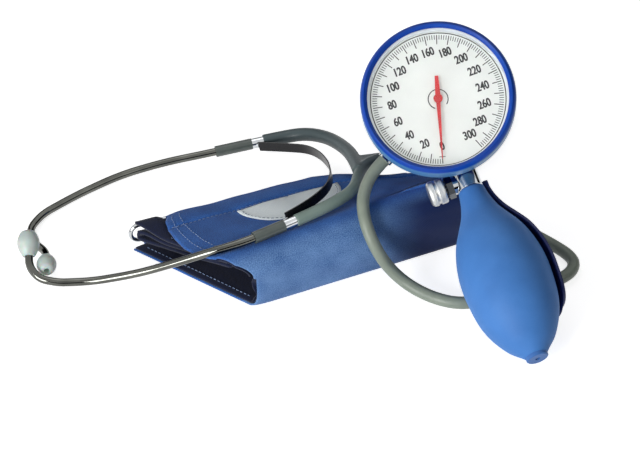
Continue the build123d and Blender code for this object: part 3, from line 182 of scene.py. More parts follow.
def quads(rows, columns):
    """Four corner numbers for each cell of a grid whose points are counted row by row."""
    number = np.arange(rows * columns).reshape(rows, columns)
    return np.stack([number[:-1, :-1], number[:-1, 1:], number[1:, 1:], number[1:, :-1]], -1).reshape(-1, 4)


def grid_mesh(name, points, fill_ends=False):
    """One quad between every four neighbours of a (rows, columns, 3) grid. Points that coincide are merged,
    open ends are filled on request, and the faces are turned outwards."""
    piece = mesh_piece(name, points, quads(*points.shape[:2]))
    work = bmesh.new()
    work.from_mesh(piece.data)
    bmesh.ops.remove_doubles(work, verts=work.verts, dist=2e-6)
    if fill_ends:
        bmesh.ops.holes_fill(work, edges=work.edges, sides=0)
    bmesh.ops.recalc_face_normals(work, faces=work.faces)
    work.to_mesh(piece.data)
    work.free()
    piece.data.shade_smooth()
    return piece


def placed(points, place):
    """Points of any grid, carried by a 4 by 4 matrix."""
    matrix = np.array(place)
    return points @ matrix[:3, :3].T + matrix[:3, 3]


def grid_of(x, y, z):
    """One grid of points from three arrays that may be spread over each other's rows and columns."""
    return np.stack(np.broadcast_arrays(x, y, z), -1)


def revolved(radius, height, turn, place):
    """Columns of radii and heights in millimetres, each carried through the angles round a place's z axis."""
    return placed(grid_of(radius * np.cos(turn), radius * np.sin(turn), height) * MM, place)


def lathe(name, profile, turn, place, fill_ends=False):
    """A piece turned from (radius, height) pairs through the given angles."""
    radius, height = np.array(profile).T[..., None]
    return grid_mesh(name, revolved(radius, height, turn, place), fill_ends)


def join_piece(piece, body, slot, material, *nodes):
    """Names the body that a new piece rides on, its material, and the solids that it stands for. The slot is
    not used.
    """
    piece.data.materials.clear()
    piece.data.materials.append(material)
    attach(piece, body)
    if nodes:
        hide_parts(*nodes)


# %% Where the units stand
def shift(x, y, z):
    """A move in millimetres."""
    return Matrix.Translation((x * MM, y * MM, z * MM))


def turned(degrees, axis):
    """A turn round one axis."""
    return Matrix.Rotation(math.radians(degrees), 4, axis)


# The gauge and the handle meet where the neck enters the case, and each tilts from there. The dial's middle
# lies 38 mm up the gauge from that joint, and its face 14.5 mm in front of it.
joint_place = shift(89.96, -0.741, 56.648) @ turned(50, "X") @ turned(20, "Z") @ turned(-10, "X")
gauge_place = joint_place @ shift(0, 38, 14.5)
handle_place = joint_place @ turned(-15, "X")
cuff_place = shift(-22.9, -55.4, 0) @ turned(24.95, "Z")
# The cuff's underside in plan: the length of its front fold, and the corners of its back edge.
FRONT_LENGTH = 131.6
under_back = np.array([(-43.5, 75.0), (66.0, 66.0), (112.0, 44.0)])
print("dial at", gauge_place.translation, "cuff at", cuff_place.translation)

# %% [markdown]
# ## Air hose and acoustic tube
# Both are soft rubber tubes, 7 mm across. A tube could be a swept mesh, but a curve with a round bevel is one
# smooth piece by itself. It is a NURBS line: its control points pull it along without making it touch them,
# so there are no kinks to round off. The hose leaves the gauge, dips in front of the cuff, passes under the
# bulb and comes back to the cuff's end.

# %% Tube helpers
TUBE_RADIUS = 3.5


def free_tube(name, route, radius=TUBE_RADIUS):
    """A round tube on one NURBS line, through control points in millimetres."""
    curve = bpy.data.curves.new(name, "CURVE")
    curve.dimensions = "3D"
    curve.resolution_u = 10
    curve.bevel_depth = radius * MM
    curve.bevel_resolution = 6
    curve.use_fill_caps = True
    line = curve.splines.new("NURBS")
    line.points.add(len(route) - 1)
    for point, (x, y, z) in zip(line.points, route):
        point.co = (x * MM, y * MM, z * MM, 1)
    line.order_u = 3
    line.use_endpoint_u = True
    return linked(name, curve)


def point_in(place, x, y, z):
    return tuple((place @ (Vector((x, y, z)) * MM)) / MM)


def beyond(start, end, *reaches):
    """Points past the end of a straight stretch and in line with it, at given distances."""
    way = np.subtract(end, start)
    way = way / np.linalg.norm(way)
    return [tuple(end + way * reach) for reach in reaches]


# %% Air hose
# Extruded rubber, olive grey. Extrusion leaves a satin skin with long faint drifts and hardly any grain.
tube_rubber = coat("extruded_rubber", ("768075", "868f82"), 14, (0.9, 0.05, 0.38, 0.5),
                   Roughness=0.42, IOR=1.5, Specular_IOR_Level=0.45)
PORT_ANGLE = math.radians(206)
PORT_REACH, PORT_LEVEL = 43.4, -14
SOCKET_DEPTH, SOCKET_LEVEL, SOCKET_REACH = 16, 10, 7.5
HOSE_STRAIGHT = 7.5
HOSE_ROUTE = [(37.5, -6.1, 50.3), (35.1, -13.5, 46.9), (34.9, -21.1, 43.2), (36.6, -28.2, 38.4),
              (39.9, -33.2, 31.4), (44.4, -35.8, 22.6), (50.0, -36.8, 13.8), (57.4, -39.4, 7.2),
              (66.2, -44.6, 4.2), (76.0, -50.8, 4.0), (87.0, -54.4, 4.0), (98.0, -53.0, 4.0),
              (107.6, -47.6, 4.0), (116.4, -42.2, 4.0), (126.6, -39.6, 4.0), (137.2, -38.0, 4.0),
              (146.2, -33.2, 4.0), (152.2, -26.8, 4.0), (153.8, -19.4, 4.0), (150.6, -12.6, 4.0),
              (144.0, -5.8, 4.1), (136.4, 0.4, 4.6), (128.8, 6.0, 5.6), (121.2, 11.2, 6.8),
              (113.4, 15.2, 8.2), (105.8, 18.4, 9.4)]
right_edge = np.interp(SOCKET_DEPTH, (0, under_back[-1, 1]), (FRONT_LENGTH, under_back[-1, 0]))
socket_end = right_edge + SOCKET_REACH
at_port = [point_in(gauge_place, reach * math.cos(PORT_ANGLE), reach * math.sin(PORT_ANGLE), PORT_LEVEL)
           for reach in (PORT_REACH, PORT_REACH + HOSE_STRAIGHT)]
at_socket = [point_in(cuff_place, x, SOCKET_DEPTH, SOCKET_LEVEL)
             for x in (socket_end + HOSE_STRAIGHT, socket_end)]
air_hose = free_tube("air_hose_rubber", [*at_port, *HOSE_ROUTE, *at_socket])
join_piece(air_hose, "kit", "hose_rubber", tube_rubber, "air_hose")
print("air hose from", at_port[0], "to", at_socket[1])

# %% [markdown]
# The acoustic tube drops from the fork behind the gauge, where the photograph hides it. Its spare length lies
# there in a loose coil of two layers, and it ends at the chest piece. The coil's control points are a spiral
# worked out by a formula, so the whole tube stays one line.

# %% Acoustic tube
COIL_TURNS = 2.125
COIL_STEPS = 34
COIL_RADIUS = 37.3
COIL_MIDDLE = (82, 110)
COIL_PITCH = 7.5
COIL_LEVEL = 3.8
STEM = [(40.6, 31.4, 36.6), (54.1, 40.6, 33.0)]
ACOUSTIC_ROUTE = [(69.4, 51.0, 27.6), (76.2, 56.2, 20.8), (82.6, 61.4, 13.4), (89.4, 66.8, 7.4)]
LEAD_ROUTE = [(119.6, 138.0, 9.9), (119.5, 149.0, 8.6), (116.0, 157.8, 7.9), (109.4, 164.6, 7.6),
              (101.2, 168, 7.6), (92, 168, 7.6)]


def coil_route():
    """A spiral: inwards by a pitch a turn for half the turns, up one layer, then outwards again."""
    turn = np.linspace(0, COIL_TURNS, COIL_STEPS + 1)
    radius = COIL_RADIUS - COIL_PITCH * np.minimum(turn, COIL_TURNS - turn)
    climb = np.clip((turn - COIL_TURNS / 2) / 0.5 + 0.5, 0, 1)
    height = COIL_LEVEL + COIL_PITCH * (1 - np.cos(np.pi * climb)) / 2
    angle = np.radians(-45 + 360 * turn)
    return grid_of(COIL_MIDDLE[0] + radius * np.cos(angle), COIL_MIDDLE[1] + radius * np.sin(angle), height)


coil = coil_route()
acoustic_route = [STEM[1], *beyond(*STEM, 9.2), *ACOUSTIC_ROUTE, *beyond(coil[1], coil[0], 16, 7), *coil,
                  *beyond(coil[-2], coil[-1], 7, 16), *LEAD_ROUTE]
acoustic_tube = free_tube("acoustic_tube_rubber", acoustic_route)
join_piece(acoustic_tube, "kit", "hose_rubber", tube_rubber, "acoustic_tube", "acoustic_coil",
           "acoustic_lead")
print("acoustic tube:", len(acoustic_route), "control points")

# %% [markdown]
# ## Studio
# A white table under broad soft lamps: a strong one low at the front left, and weak ones on the right and
# above. The room is even and white. Its extra brightness reaches only the camera, mirrors and glass, so that
# the ground is white while the object is lit at a plain level, and the table keeps the shadow.

# %% Table, room and lamps
KIT_MIDDLE = Vector((0.02, 0, 0.03))


def seen_directly(tree):
    """One for camera rays, mirror reflections and what is seen through glass, otherwise nought."""
    path = add(tree, "LightPath")
    total = add(tree, "Math", {0: path.outputs["Is Camera Ray"], 1: path.outputs["Is Glossy Ray"]},
                operation="ADD")
    return add(tree, "Math", {0: total.outputs[0], 1: path.outputs["Is Transmission Ray"]}, operation="ADD",
               use_clamp=True).outputs[0]


def soft_lamp(name, place, size, power):
    lamp = linked(name, bpy.data.lights.new(name, "AREA"))
    lamp.data.size = size
    lamp.data.energy = power
    lamp.location = place
    lamp.rotation_euler = (KIT_MIDDLE - Vector(place)).to_track_quat("-Z", "Y").to_euler()


table_finish, tree, shader = finish("matt_table", Roughness=0.9, Base_Color=linear("eeeeee"),
                                    Emission_Color=linear("ffffff"))
glow = add(tree, "Math", {0: seen_directly(tree), 1: 0.75}, operation="MULTIPLY")
tree.links.new(glow.outputs[0], shader.inputs["Emission Strength"])
table = mesh_piece("table", [(-9, -9, 0), (9, -9, 0), (9, 9, 0), (-9, 9, 0)], [(0, 1, 2, 3)])
table.data.materials.append(table_finish)

room = bpy.data.worlds.new("room")
room.use_nodes = True
bpy.context.scene.world = room
tree = room.node_tree
strength = add(tree, "MapRange", {"Value": seen_directly(tree), "To Min": 0.2, "To Max": 1.0})
background = tree.nodes["Background"]
tree.links.new(strength.outputs[0], background.inputs["Strength"])
background.inputs["Color"].default_value = (1, 1, 1, 1)

soft_lamp("key", (-0.95, -1.35, 0.46), 0.75, 27)
soft_lamp("fill", (1.2, -0.6, 0.8), 1.0, 1.5)
soft_lamp("top", (-0.4, 0.6, 1.5), 1.0, 3.5)
print("lamps:", [lamp.name for lamp in bpy.data.lights])

# %% [markdown]
# Chrome shows what stands round it. Photographers put black cards beside the table, which draw dark lines
# along a mirror. Here only reflections see the cards, so they throw no shadow and stay out of the picture.

# %% Black cards
card_cloth = finish("black_card_cloth", Roughness=1.0, Specular_IOR_Level=0.0, Base_Color=linear("040404"))[0]
for name, corners in (
        ("front_card", [(-2.2, -1.7, 0.02), (2.2, -1.7, 0.02), (2.2, -1.7, 1.0), (-2.2, -1.7, 1.0)]),
        ("back_card", [(-2.2, 1.6, 0.25), (2.2, 1.6, 0.25), (2.2, 1.6, 1.05), (-2.2, 1.6, 1.05)]),
        ("right_card", [(1.8, -1.5, 0.02), (1.8, 1.4, 0.02), (1.8, 1.4, 1.3), (1.8, -1.5, 1.3)])):
    card = mesh_piece(name, corners, [(0, 1, 2, 3)])
    card.data.materials.append(card_cloth)
    card.visible_camera = card.visible_diffuse = card.visible_shadow = card.visible_transmission = False
    print(name, "stands at", corners[0])

# %% [markdown]
# ## Finishes of the hard parts
# Each finish is named for the real material and how it was made. An image texture could give each its marks,
# but a noise in real millimetres fits any shape. Metals keep their default index of refraction: their colour
# is all in the reflection.

# %% Painted case
# Enamel on die-cast metal: a thick, even, glossy coat of royal blue. Its outer edge carries a painted
# highlight:
# near 42.5 mm from the dial's axis the blue turns to steel blue.
HIGHLIGHT_FROM, HIGHLIGHT_TO = 42.45, 42.95


def in_frame(tree, place):
    """Coordinates in a unit's own frame: Mapping as a texture undoes that frame's move and turn."""
    return add(tree, "Mapping", {"Vector": add(tree, "TexCoord").outputs["Object"],
                                 "Location": place.translation, "Rotation": place.to_euler()},
               vector_type="TEXTURE").outputs[0]


enamel, tree, shader = finish("gloss_blue_enamel", Roughness=0.34, Specular_IOR_Level=0.25)
drift = mottle(tree, shader, ("033b9c", "0646ab"), 25)
grain(tree, shader, 0.5, 0.01, 0.3, 0.4)
flat_part = add(tree, "VectorMath", {0: in_frame(tree, gauge_place), 1: (1, 1, 0)}, operation="MULTIPLY")
from_axis = add(tree, "VectorMath", {0: flat_part.outputs[0]}, operation="LENGTH")
# Painted highlight: past this distance from the dial's axis the enamel is mixed to steel blue.
painted_highlight_mask = add(tree, "MapRange", {"Value": from_axis.outputs["Value"], "From Min": HIGHLIGHT_FROM * MM,
                                "From Max": HIGHLIGHT_TO * MM})
paler = add(tree, "Mix", {0: painted_highlight_mask.outputs[0], 6: drift.outputs[2], 7: linear("5389bd")}, data_type="RGBA")
tree.links.new(paler.outputs[2], shader.inputs["Base Color"])
dress(enamel, "gauge_case bezel_ring")
print(enamel.name, "has", len(tree.nodes), "nodes")

# %% Dial and crystal
# Dial paint: matt white lacquer on sheet aluminium, with a barely visible orange peel.
dress(coat("matt_white_dial", ("e4e8e4", "eaeeea"), 20, (0.4, 0.004, 0.5, 0.6), Roughness=0.55), "dial_plate")
# Printing ink: nearly black, a little glossier than the paint under it.
ink = coat("black_screen_ink", ("17181b", "1e1f23"), 3, Roughness=0.4)
# Pointer lacquer: bright signal red on thin brass.
red_lacquer = coat("red_lacquer", ("c4161c", "cf1f25"), 6, Roughness=0.35, Coat_Weight=0.3)
dress(red_lacquer, "pointer")
# Pale plastic ring and gasket: moulded, satin, slightly cool.
dress(coat("pale_moulded_ring", ("dfe6ec", "e8eef2"), 9, (0.5, 0.006, 0.4, 0.52), Roughness=0.45),
      "dial_ring lens_gasket")

# Crystal: thin clear plastic. All light passes, and only its own gloss shows.
crystal, tree, shader = finish("clear_crystal", Roughness=0.02, IOR=1.3, Transmission_Weight=1.0,
                               Base_Color=linear("ffffff"))
specks = add(tree, "TexNoise", {"Vector": add(tree, "TexCoord").outputs["Object"], "Scale": 1 / (6 * MM)})
haze = add(tree, "MapRange", {"Value": specks.outputs["Fac"], "To Min": 0.0, "To Max": 0.015})
tree.links.new(haze.outputs[0], shader.inputs["Roughness"])
dress(crystal, "crystal_lens")
print("dial finishes:", ink.name, red_lacquer.name, crystal.name)

# %% Metals
METAL_PATCH = 12
# Bright chrome plate on brass: a mirror with faint hazy patches from fingers.
dress(coat("bright_chrome", ("b9bdc0", "cfd2d4"), METAL_PATCH, (2.5, 0.004, 0.05, 0.12), Metallic=1.0),
      "hose_barb valve_body near_collar far_collar chest_stem chest_body pull_ring")
# Drawn and plated tube: fine draw marks blur the mirror a little.
dress(coat("drawn_chrome_tube", ("555652", "6a6b66"), METAL_PATCH, (1.2, 0.006, 0.06, 0.12), Metallic=1.0),
      "near_ear_tube far_ear_tube")
# Yellow brass, milled and left bare inside the case.
dress(coat("milled_brass", ("b08d4a", "c29d58"), METAL_PATCH, (0.4, 0.01, 0.28, 0.42), Metallic=1.0),
      "pointer_shaft sector_gear rocker capsule_pusher diaphragm_capsule feed_pipe movement_back_plate "
      "movement_front_plate movement_pillars")
# Springs, balls and screws: ground steel.
dress(coat("ground_steel", ("8f9296", "a4a7ab"), METAL_PATCH, (0.3, 0.006, 0.2, 0.32), Metallic=1.0),
      "hairspring movement_screws outlet_ball inlet_ball spoon_screw")
# Valve nut and stem: nickel plate, toned dark.
dress(coat("dark_nickel", ("4a4e52", "5c6064"), METAL_PATCH, (0.5, 0.006, 0.16, 0.28), Metallic=1.0),
      "valve_bush valve_needle inlet_retainer check_valve_seat")
# Spring strap: blued steel with a black enamel coat.
dress(coat("black_enamelled_steel", ("060709", "0f0f15"), 10, (0.6, 0.01, 0.24, 0.38), Roughness=0.34,
           Specular_IOR_Level=0.3), "leaf_spring")
# Bracket sleeves: steel with a grey-green stoved paint.
dress(coat("grey_green_stoved_paint", ("454d4a", "525b56"), 8, (0.5, 0.01, 0.32, 0.46), Roughness=0.38,
           Coat_Weight=0.2), "near_bracket_sleeve far_bracket_sleeve")
print("materials so far:", len(bpy.data.materials))

# %% Moulded plastics
# Palm spoon: injection-moulded navy plastic with a satin face.
spoon_plastic = coat("satin_navy_plastic", ("0a1850", "102468"), 30, (0.7, 0.004, 0.38, 0.46), Roughness=0.42,
                     Specular_IOR_Level=0.4)
# Inlet valve: moulded plastic, coloured to match the bulb it sits in.
dress(coat("blue_moulded_plastic", ("2f62a6", "386cb0"), 9, (0.5, 0.01, 0.45, 0.55), Roughness=0.5),
      "end_valve_body")
# Socket, chest rim: black nylon.
dress(coat("black_nylon", ("1b1d21", "26292e"), 7, (0.5, 0.02, 0.42, 0.58), Roughness=0.5),
      "hose_socket chest_rim")
# Membrane: thin glass-fibre resin disc, pale and satin.
dress(coat("resin_membrane", ("d6d8cf", "e2e3db"), 6, (0.35, 0.01, 0.34, 0.48), Roughness=0.4),
      "chest_membrane")
# Ear tips: soft milky silicone. Light enters it and comes out again nearby.
dress(coat("milky_silicone", ("bccbc7", "cfdad6"), 8, (0.8, 0.02, 0.3, 0.42), Roughness=0.35, IOR=1.41,
           Subsurface_Weight=0.6, Transmission_Weight=0.15, Subsurface_Scale=4 * MM),
      "near_ear_tip far_ear_tip")
print("materials with the plastics:", len(bpy.data.materials))

# %% Rubbers
# Bulb rubber: blue, dusted and matt, so its light and shade roll off softly.
bulb_rubber = coat("matt_blue_rubber", ("3a72b8", "437dc4"), 20, (0.8, 0.05, 0.55, 0.7), Roughness=0.62,
                   Specular_IOR_Level=0.35, Sheen_Weight=0.25, Sheen_Roughness=0.5,
                   Sheen_Tint=linear("9cc0ee"))
# Bladder: black rubber sheet.
black_rubber = coat("black_rubber_sheet", ("16181c", "202328"), 9, (0.6, 0.03, 0.5, 0.7), Roughness=0.6)

# Moulded fork rubber: slate grey, the same satin skin as the tubes but darker. Painted shade darkens it from
# the near arm to the far one, between these distances from front to back.
SHADE_FROM, SHADE_FULL = -4, 24
fork_rubber, tree, shader = finish("moulded_slate_rubber", Roughness=0.42, Specular_IOR_Level=0.45)
drift = mottle(tree, shader, ("758880", "889a90"), 16)
grain(tree, shader, 0.9, 0.04, 0.36, 0.5)
split = add(tree, "SeparateXYZ", {0: add(tree, "TexCoord").outputs["Object"]})
painted_shade_mask = add(tree, "MapRange", {"Value": split.outputs["Y"], "From Min": SHADE_FROM * MM,
                                   "From Max": SHADE_FULL * MM})
# Painted shade: towards the back the fork's colour is mixed to dark slate.
darker = add(tree, "Mix", {0: painted_shade_mask.outputs[0], 6: drift.outputs[2], 7: linear("3f4d50")},
             data_type="RGBA")
tree.links.new(darker.outputs[2], shader.inputs["Base Color"])
print("rubbers:", tube_rubber.name, bulb_rubber.name, black_rubber.name, fork_rubber.name)

# %% [markdown]
# ## Squeeze bulb
# The bulb is dipped or moulded rubber: a long pear with a cylindrical mouth that is pushed on to the neck. It
# could be sculpted from a sphere, but a turned outline keeps it true to the handle's axis: a smooth line
# through measured radii, with a wall behind it.

# %% Bulb
NECK_END = 15.0
BULB_START = NECK_END + 0.1
BULB_LENGTH = 104.0
BULB_RADIUS = 24.7
BULB_WALL = 2.5
MOUTH_RADIUS = 4.83
bulb_shares = [(0.0, 0.300), (0.069, 0.352), (0.143, 0.457), (0.217, 0.628), (0.286, 0.785), (0.354, 0.887),
               (0.428, 0.960), (0.51, 0.998), (0.60, 0.992), (0.71, 0.945), (0.79, 0.857), (0.858, 0.729),
               (0.926, 0.550), (0.975, 0.350), (1.0, 0.256)]
bulb_line = smooth_line([(r * BULB_RADIUS, BULB_START + s * BULB_LENGTH) for s, r in bulb_shares], 8)
bulb_inside = bulb_line[::-1] - (BULB_WALL, 0)
bulb_inside[:, 0] = np.maximum(bulb_inside[:, 0], MOUTH_RADIUS)
bulb = lathe("bulb_skin", np.vstack([bulb_line, bulb_inside, bulb_line[:1]]), np.linspace(0, 2 * np.pi, 129),
             handle_place @ turned(90, "X"))
join_piece(bulb, "kit", "bulb_rubber", bulb_rubber, "rubber_bulb")
print("bulb skin:", len(bulb.data.vertices), "points")

# %% [markdown]
# ## Dial print
# The scale is screen printed: 151 strokes for 0 to 300 in steps of two, longer ones at each ten, and upright
# numbers at each twenty. An image would blur close up, so the print is thin geometry. All strokes are one
# mesh of flat boxes, placed by their angle. The numbers are text curves turned into meshes, narrowed and made
# bold by a second copy.

# %% Strokes
SCALE_START = 254.0
SCALE_SWEEP = 322.5
INK_HEIGHT = 0.04
UNIT_BOX = np.array([(x, y, z) for z in (0, 1) for x, y in ((0, 0), (1, 0), (1, 1), (0, 1))])


def box_faces(count):
    """The faces of boxes with eight corners each: a ring of four below, then a ring of four above."""
    face = np.array([(0, 3, 2, 1), (4, 5, 6, 7), (0, 1, 5, 4), (1, 2, 6, 5), (2, 3, 7, 6), (3, 0, 4, 7)])
    return (face + 8 * np.arange(count)[:, None, None]).reshape(-1, 4)


def scale_angle(value):
    """Zero stands 16 degrees past straight down, and readings run clockwise."""
    return np.radians(SCALE_START - SCALE_SWEEP * np.asarray(value) / 300)


def printed_boxes(name, readings, low, high, width):
    """One thin box for each reading: from one radius to another along its angle, with a width across."""
    angle, low, high, width = (np.reshape(x, (-1, 1)) for x in (scale_angle(readings), low, high, width))
    out = low + (high - low) * UNIT_BOX[:, 0]
    side = width * (UNIT_BOX[:, 1] - 0.5)
    points = grid_of(out * np.cos(angle) - side * np.sin(angle), out * np.sin(angle) + side * np.cos(angle),
                     UNIT_BOX[:, 2] * INK_HEIGHT) * MM
    join_piece(mesh_piece(name, placed(points, gauge_place), box_faces(len(angle))), "kit", "dial_face", ink)
    print(name, len(angle))


STROKE_END = 36.2
TEN_START, TEN_WIDTH = 30.9, 0.5
TWO_START, TWO_WIDTH = 33.6, 0.38
reading = np.arange(0, 301, 2)
is_ten = reading % 10 == 0
printed_boxes("dial_strokes", reading, np.where(is_ten, TEN_START, TWO_START), STROKE_END,
              np.where(is_ten, TEN_WIDTH, TWO_WIDTH))
# The zero stroke carries a short bar across it, which marks the span in which the pointer may rest.
printed_boxes("dial_zero_bar", [0], 32.2, 32.6, 3.4)

# %% Numbers
# Their middles lie on an ellipse, because a wide number needs more room inside the strokes than a tall one.
NUMBER_PLACE = (25.4, 26.7)
NUMBER_HEIGHT = 6.5
NUMBER_NARROWING = 0.74
NUMBER_BOLDNESS = 0.13


def printed_number(value):
    """A number at its place on the scale, upright in the gauge's frame."""
    curve = bpy.data.curves.new(f"dial_number_{value}", "FONT")
    curve.body = str(value)
    curve.align_x = "CENTER"
    curve.align_y = "CENTER"
    curve.size = NUMBER_HEIGHT * MM
    curve.extrude = 0.02 * MM
    curve.offset = 0.15 * MM
    curve.resolution_u = 4
    source = bpy.data.objects.new(curve.name + "_curve", curve)
    mesh = bpy.data.meshes.new_from_object(source)
    bpy.data.objects.remove(source)
    # A second copy, moved a hair to the side, makes the thin upright strokes as bold as the printed ones.
    both = bmesh.new()
    for step in (-NUMBER_BOLDNESS, NUMBER_BOLDNESS):
        first = len(both.verts)
        both.from_mesh(mesh)
        both.verts.ensure_lookup_table()
        bmesh.ops.translate(both, verts=both.verts[first:], vec=(step * MM, 0, step * 0.02 * MM))
    both.to_mesh(mesh)
    both.free()
    angle = float(scale_angle(value))
    centre = shift(NUMBER_PLACE[0] * math.cos(angle), NUMBER_PLACE[1] * math.sin(angle), INK_HEIGHT)
    mesh.transform(gauge_place @ centre @ Matrix.Diagonal((NUMBER_NARROWING, 1, 1, 1)))
    mesh.name = curve.name
    join_piece(linked(curve.name, mesh), "kit", "dial_face", ink)


numbers = range(0, 301, 20)
for value in numbers:
    printed_number(value)
print("numbers:", list(numbers))

# %% Round lines and hub cap
LINE_WIDTH = 0.55
ARC_RADIUS, EDGE_RADIUS = 5.2, 37.0


def printed_line(name, radius, angle, fill_ends=False):
    """A flat line round the dial's axis: a low rectangle, closed on itself, turned through the angles."""
    side = np.array([(0, 0), (LINE_WIDTH, 0), (LINE_WIDTH, INK_HEIGHT), (0, INK_HEIGHT), (0, 0)])
    join_piece(lathe(name, side + (radius, 0), angle, gauge_place, fill_ends), "kit", "dial_face", ink)


# An open arc stands round the hub, and a red cap is pressed on the hub and hides the end of the shaft.
printed_line("dial_hub_arc", ARC_RADIUS, np.radians(np.linspace(-52, 232, 73)), fill_ends=True)
cap_outline = [(0, 2.95), (2.1, 2.95), (2.4, 2.8), (2.45, 2.5), (2.45, 2.25), (0, 2.25), (0, 2.95)]
hub_cap = lathe("pointer_hub_cap", cap_outline, np.linspace(0, 2 * np.pi, 49), gauge_place)
join_piece(hub_cap, "pointer_set", "pointer_red", red_lacquer)
# A thin line runs along the dial's edge, just inside the pale ring.
printed_line("dial_edge_line", EDGE_RADIUS, np.linspace(0, 2 * np.pi, 181))
print("hub cap:", len(hub_cap.data.vertices), "points")

# %% [markdown]
# ## Cuff
# A cuff is two cloths sewn together at their edges with a flat rubber bladder between them. Here its middle
# is folded once round the front, and its long end is folded to and fro inside. A cloth simulation would fall
# into folds of its own, not into the ones in the photograph, so each cloth is a computed sheet: a grid whose
# rows run along the cuff, from the back of the underside, round the front, over the top and down at the back.
# Solidify then gives the sheet its thickness, so the weave keeps one clean UV map.

# %% Sheets of cloth
def step_lengths(points, axis):
    """How far the points of a grid lie apart along one axis, for each step and each line of the grid."""
    return np.linalg.norm(np.diff(points, axis=axis), axis=2)


def cloth_sheet(name, points, thickness, place=cuff_place, offset=-1):
    """An open grid in millimetres as a sheet. Its UVs are real distances, summed along columns and rows, and
    its wall grows inwards, or to both sides where the offset is nought."""
    u, v = [np.append(0, np.cumsum(step_lengths(points, axis).mean(1 - axis))) for axis in (1, 0)]
    uv = np.stack(np.meshgrid(u, v), -1).reshape(-1, 2) * MM
    faces = quads(*points.shape[:2])
    piece = mesh_piece(name, placed(points * MM, place), faces)
    layer = piece.data.uv_layers.new(name="UVMap")
    layer.data.foreach_set("uv", uv[faces.ravel()].ravel())
    piece.data.shade_smooth()
    wall = piece.modifiers.new("thickness", "SOLIDIFY")
    wall.thickness = thickness * MM
    wall.offset = offset
    return piece


def soft_piece(name, grid, thickness, slot, material, node, place=cuff_place, offset=-1):
    """A sheet that stands for one solid of the cuff."""
    sheet = cloth_sheet(name, grid, thickness, place, offset)
    join_piece(sheet, "kit", slot, material, node)
    print(name, len(sheet.data.vertices), "points")


# %% Plan of the cuff
# In the cuff's own frame q runs along the front fold from its left end, and p from the fold to the back.
flap_back = np.array([(-23.5, 72.0), (0, 71.6), (25, 71.4), (48, 71.8), (66, 71.0), (79, 65.5), (95, 52.5),
                      (111.5, 42.0)])
flap_left = np.array([(0, 0), (-10.5, 5.7), (-20.1, 18), (-25.4, 27.9), (-27.9, 36.8), (-28.8, 48.5),
                      (-28.4, 58.5), (-27, 66), (-23.5, 72)])
tail_back = np.array([(-43.0, 74.6), (66.0, 65.6), (110.5, 44.4)])
UNDER_DEPTH, FLAP_DEPTH = under_back[0, 1], flap_back[0, 1]


def along_line(corners, share):
    """The point, as q and p, at a share of a polyline's length."""
    step = np.append(0, np.cumsum(np.linalg.norm(np.diff(corners, axis=0), axis=1)))
    return np.array([np.interp(share * step[-1], step, corners[:, k]) for k in (0, 1)])


def plan_point(v, s, back, left=None):
    """Where a sheet lies in plan, as q and p: v along the front fold, s from the fold to the back edge. A
    curved left edge moves the points near it, and its pull fades with the sixth power of the distance."""
    v, s = np.broadcast_arrays(v, s)
    front = np.array([FRONT_LENGTH * v, 0 * v])
    point = front + s * (along_line(back, v) - front)
    if left is not None:
        share = np.clip(s, 0, 1)
        edge = np.array([np.interp(share, left[:, 1] / left[-1, 1], left[:, k]) for k in (0, 1)])
        point = point + (1 - v) ** 6 * (edge - np.multiply.outer(left[-1], share))
    return point


# %% Height of the cuff
# The top falls from front to back, faster on the right. It was measured at two stations, 60 mm left of the
# front fold's left end and 150 mm right of it: height at the fold, run to the back, and slope.
LOW_ROUND, TOP_ROUND, SOLE = 6.0, 12.0, 0.2
STATIONS = (-60, 150)
HEIGHTS = (30.897, 45.258)
RUNS = (82.927, 62.182)
SLOPES = (0.13697, 0.52713)
HEM_SEAM = 0.815


def between(q, at_stations):
    """A measure at q, on the straight line through its values at the two stations."""
    share = (q - STATIONS[0]) / (STATIONS[1] - STATIONS[0])
    return (1 - share) * at_stations[0] + share * at_stations[1]


def top_height(q, p):
    """The sloping top: straight along the line that joins equal shares of the two stations' runs."""
    t = (p - TOP_ROUND) / between(q, RUNS)
    return between(q, [height - slope * run * t for height, slope, run in zip(HEIGHTS, SLOPES, RUNS)])


def soft_step(x, start, end):
    """Nought before the start, one past the end, and a smooth cubic between."""
    t = np.clip((x - start) / (end - start), 0, 1)
    return t * t * (3 - 2 * t)


def top_relief(v, s, q, p):
    """How the cloth of the top departs from the plane, in millimetres: a hem that swells behind its seam, a
    groove at the seam, a shallow sag between the folds, and waves that grow to the right and the back."""
    seam = s - HEM_SEAM
    hem = 0.9 * np.clip(np.sin(np.pi * np.clip(seam / (1 - HEM_SEAM), 0, 1)), 0, 1) ** 0.7
    groove = -0.7 * np.exp(-(seam / 0.012) ** 2)
    edge = 0.6 * (0.5 * soft_step(v, 0.02, 0.05) - 0.5)
    waves = 0.55 * np.sin(q / 9.5 + 0.9) * np.sin(p / 15 + q / 31) + 0.3 * np.sin(q / 4.3 + p / 7)
    right = soft_step(v, 0.6, 0.95) * 1.3 * np.sin(q / 5.2 + p / 13) * soft_step(s, 0.3, 0.95)
    sag = -0.7 * np.sin(np.pi * np.clip(s, 0, 1)) * np.sin(np.pi * v)
    return hem + groove + edge + 0.6 * waves * soft_step(s, 0.02, 0.3) + right + sag


print("top at the left end of the fold:", round(float(top_height(0, TOP_ROUND)), 1), "mm")

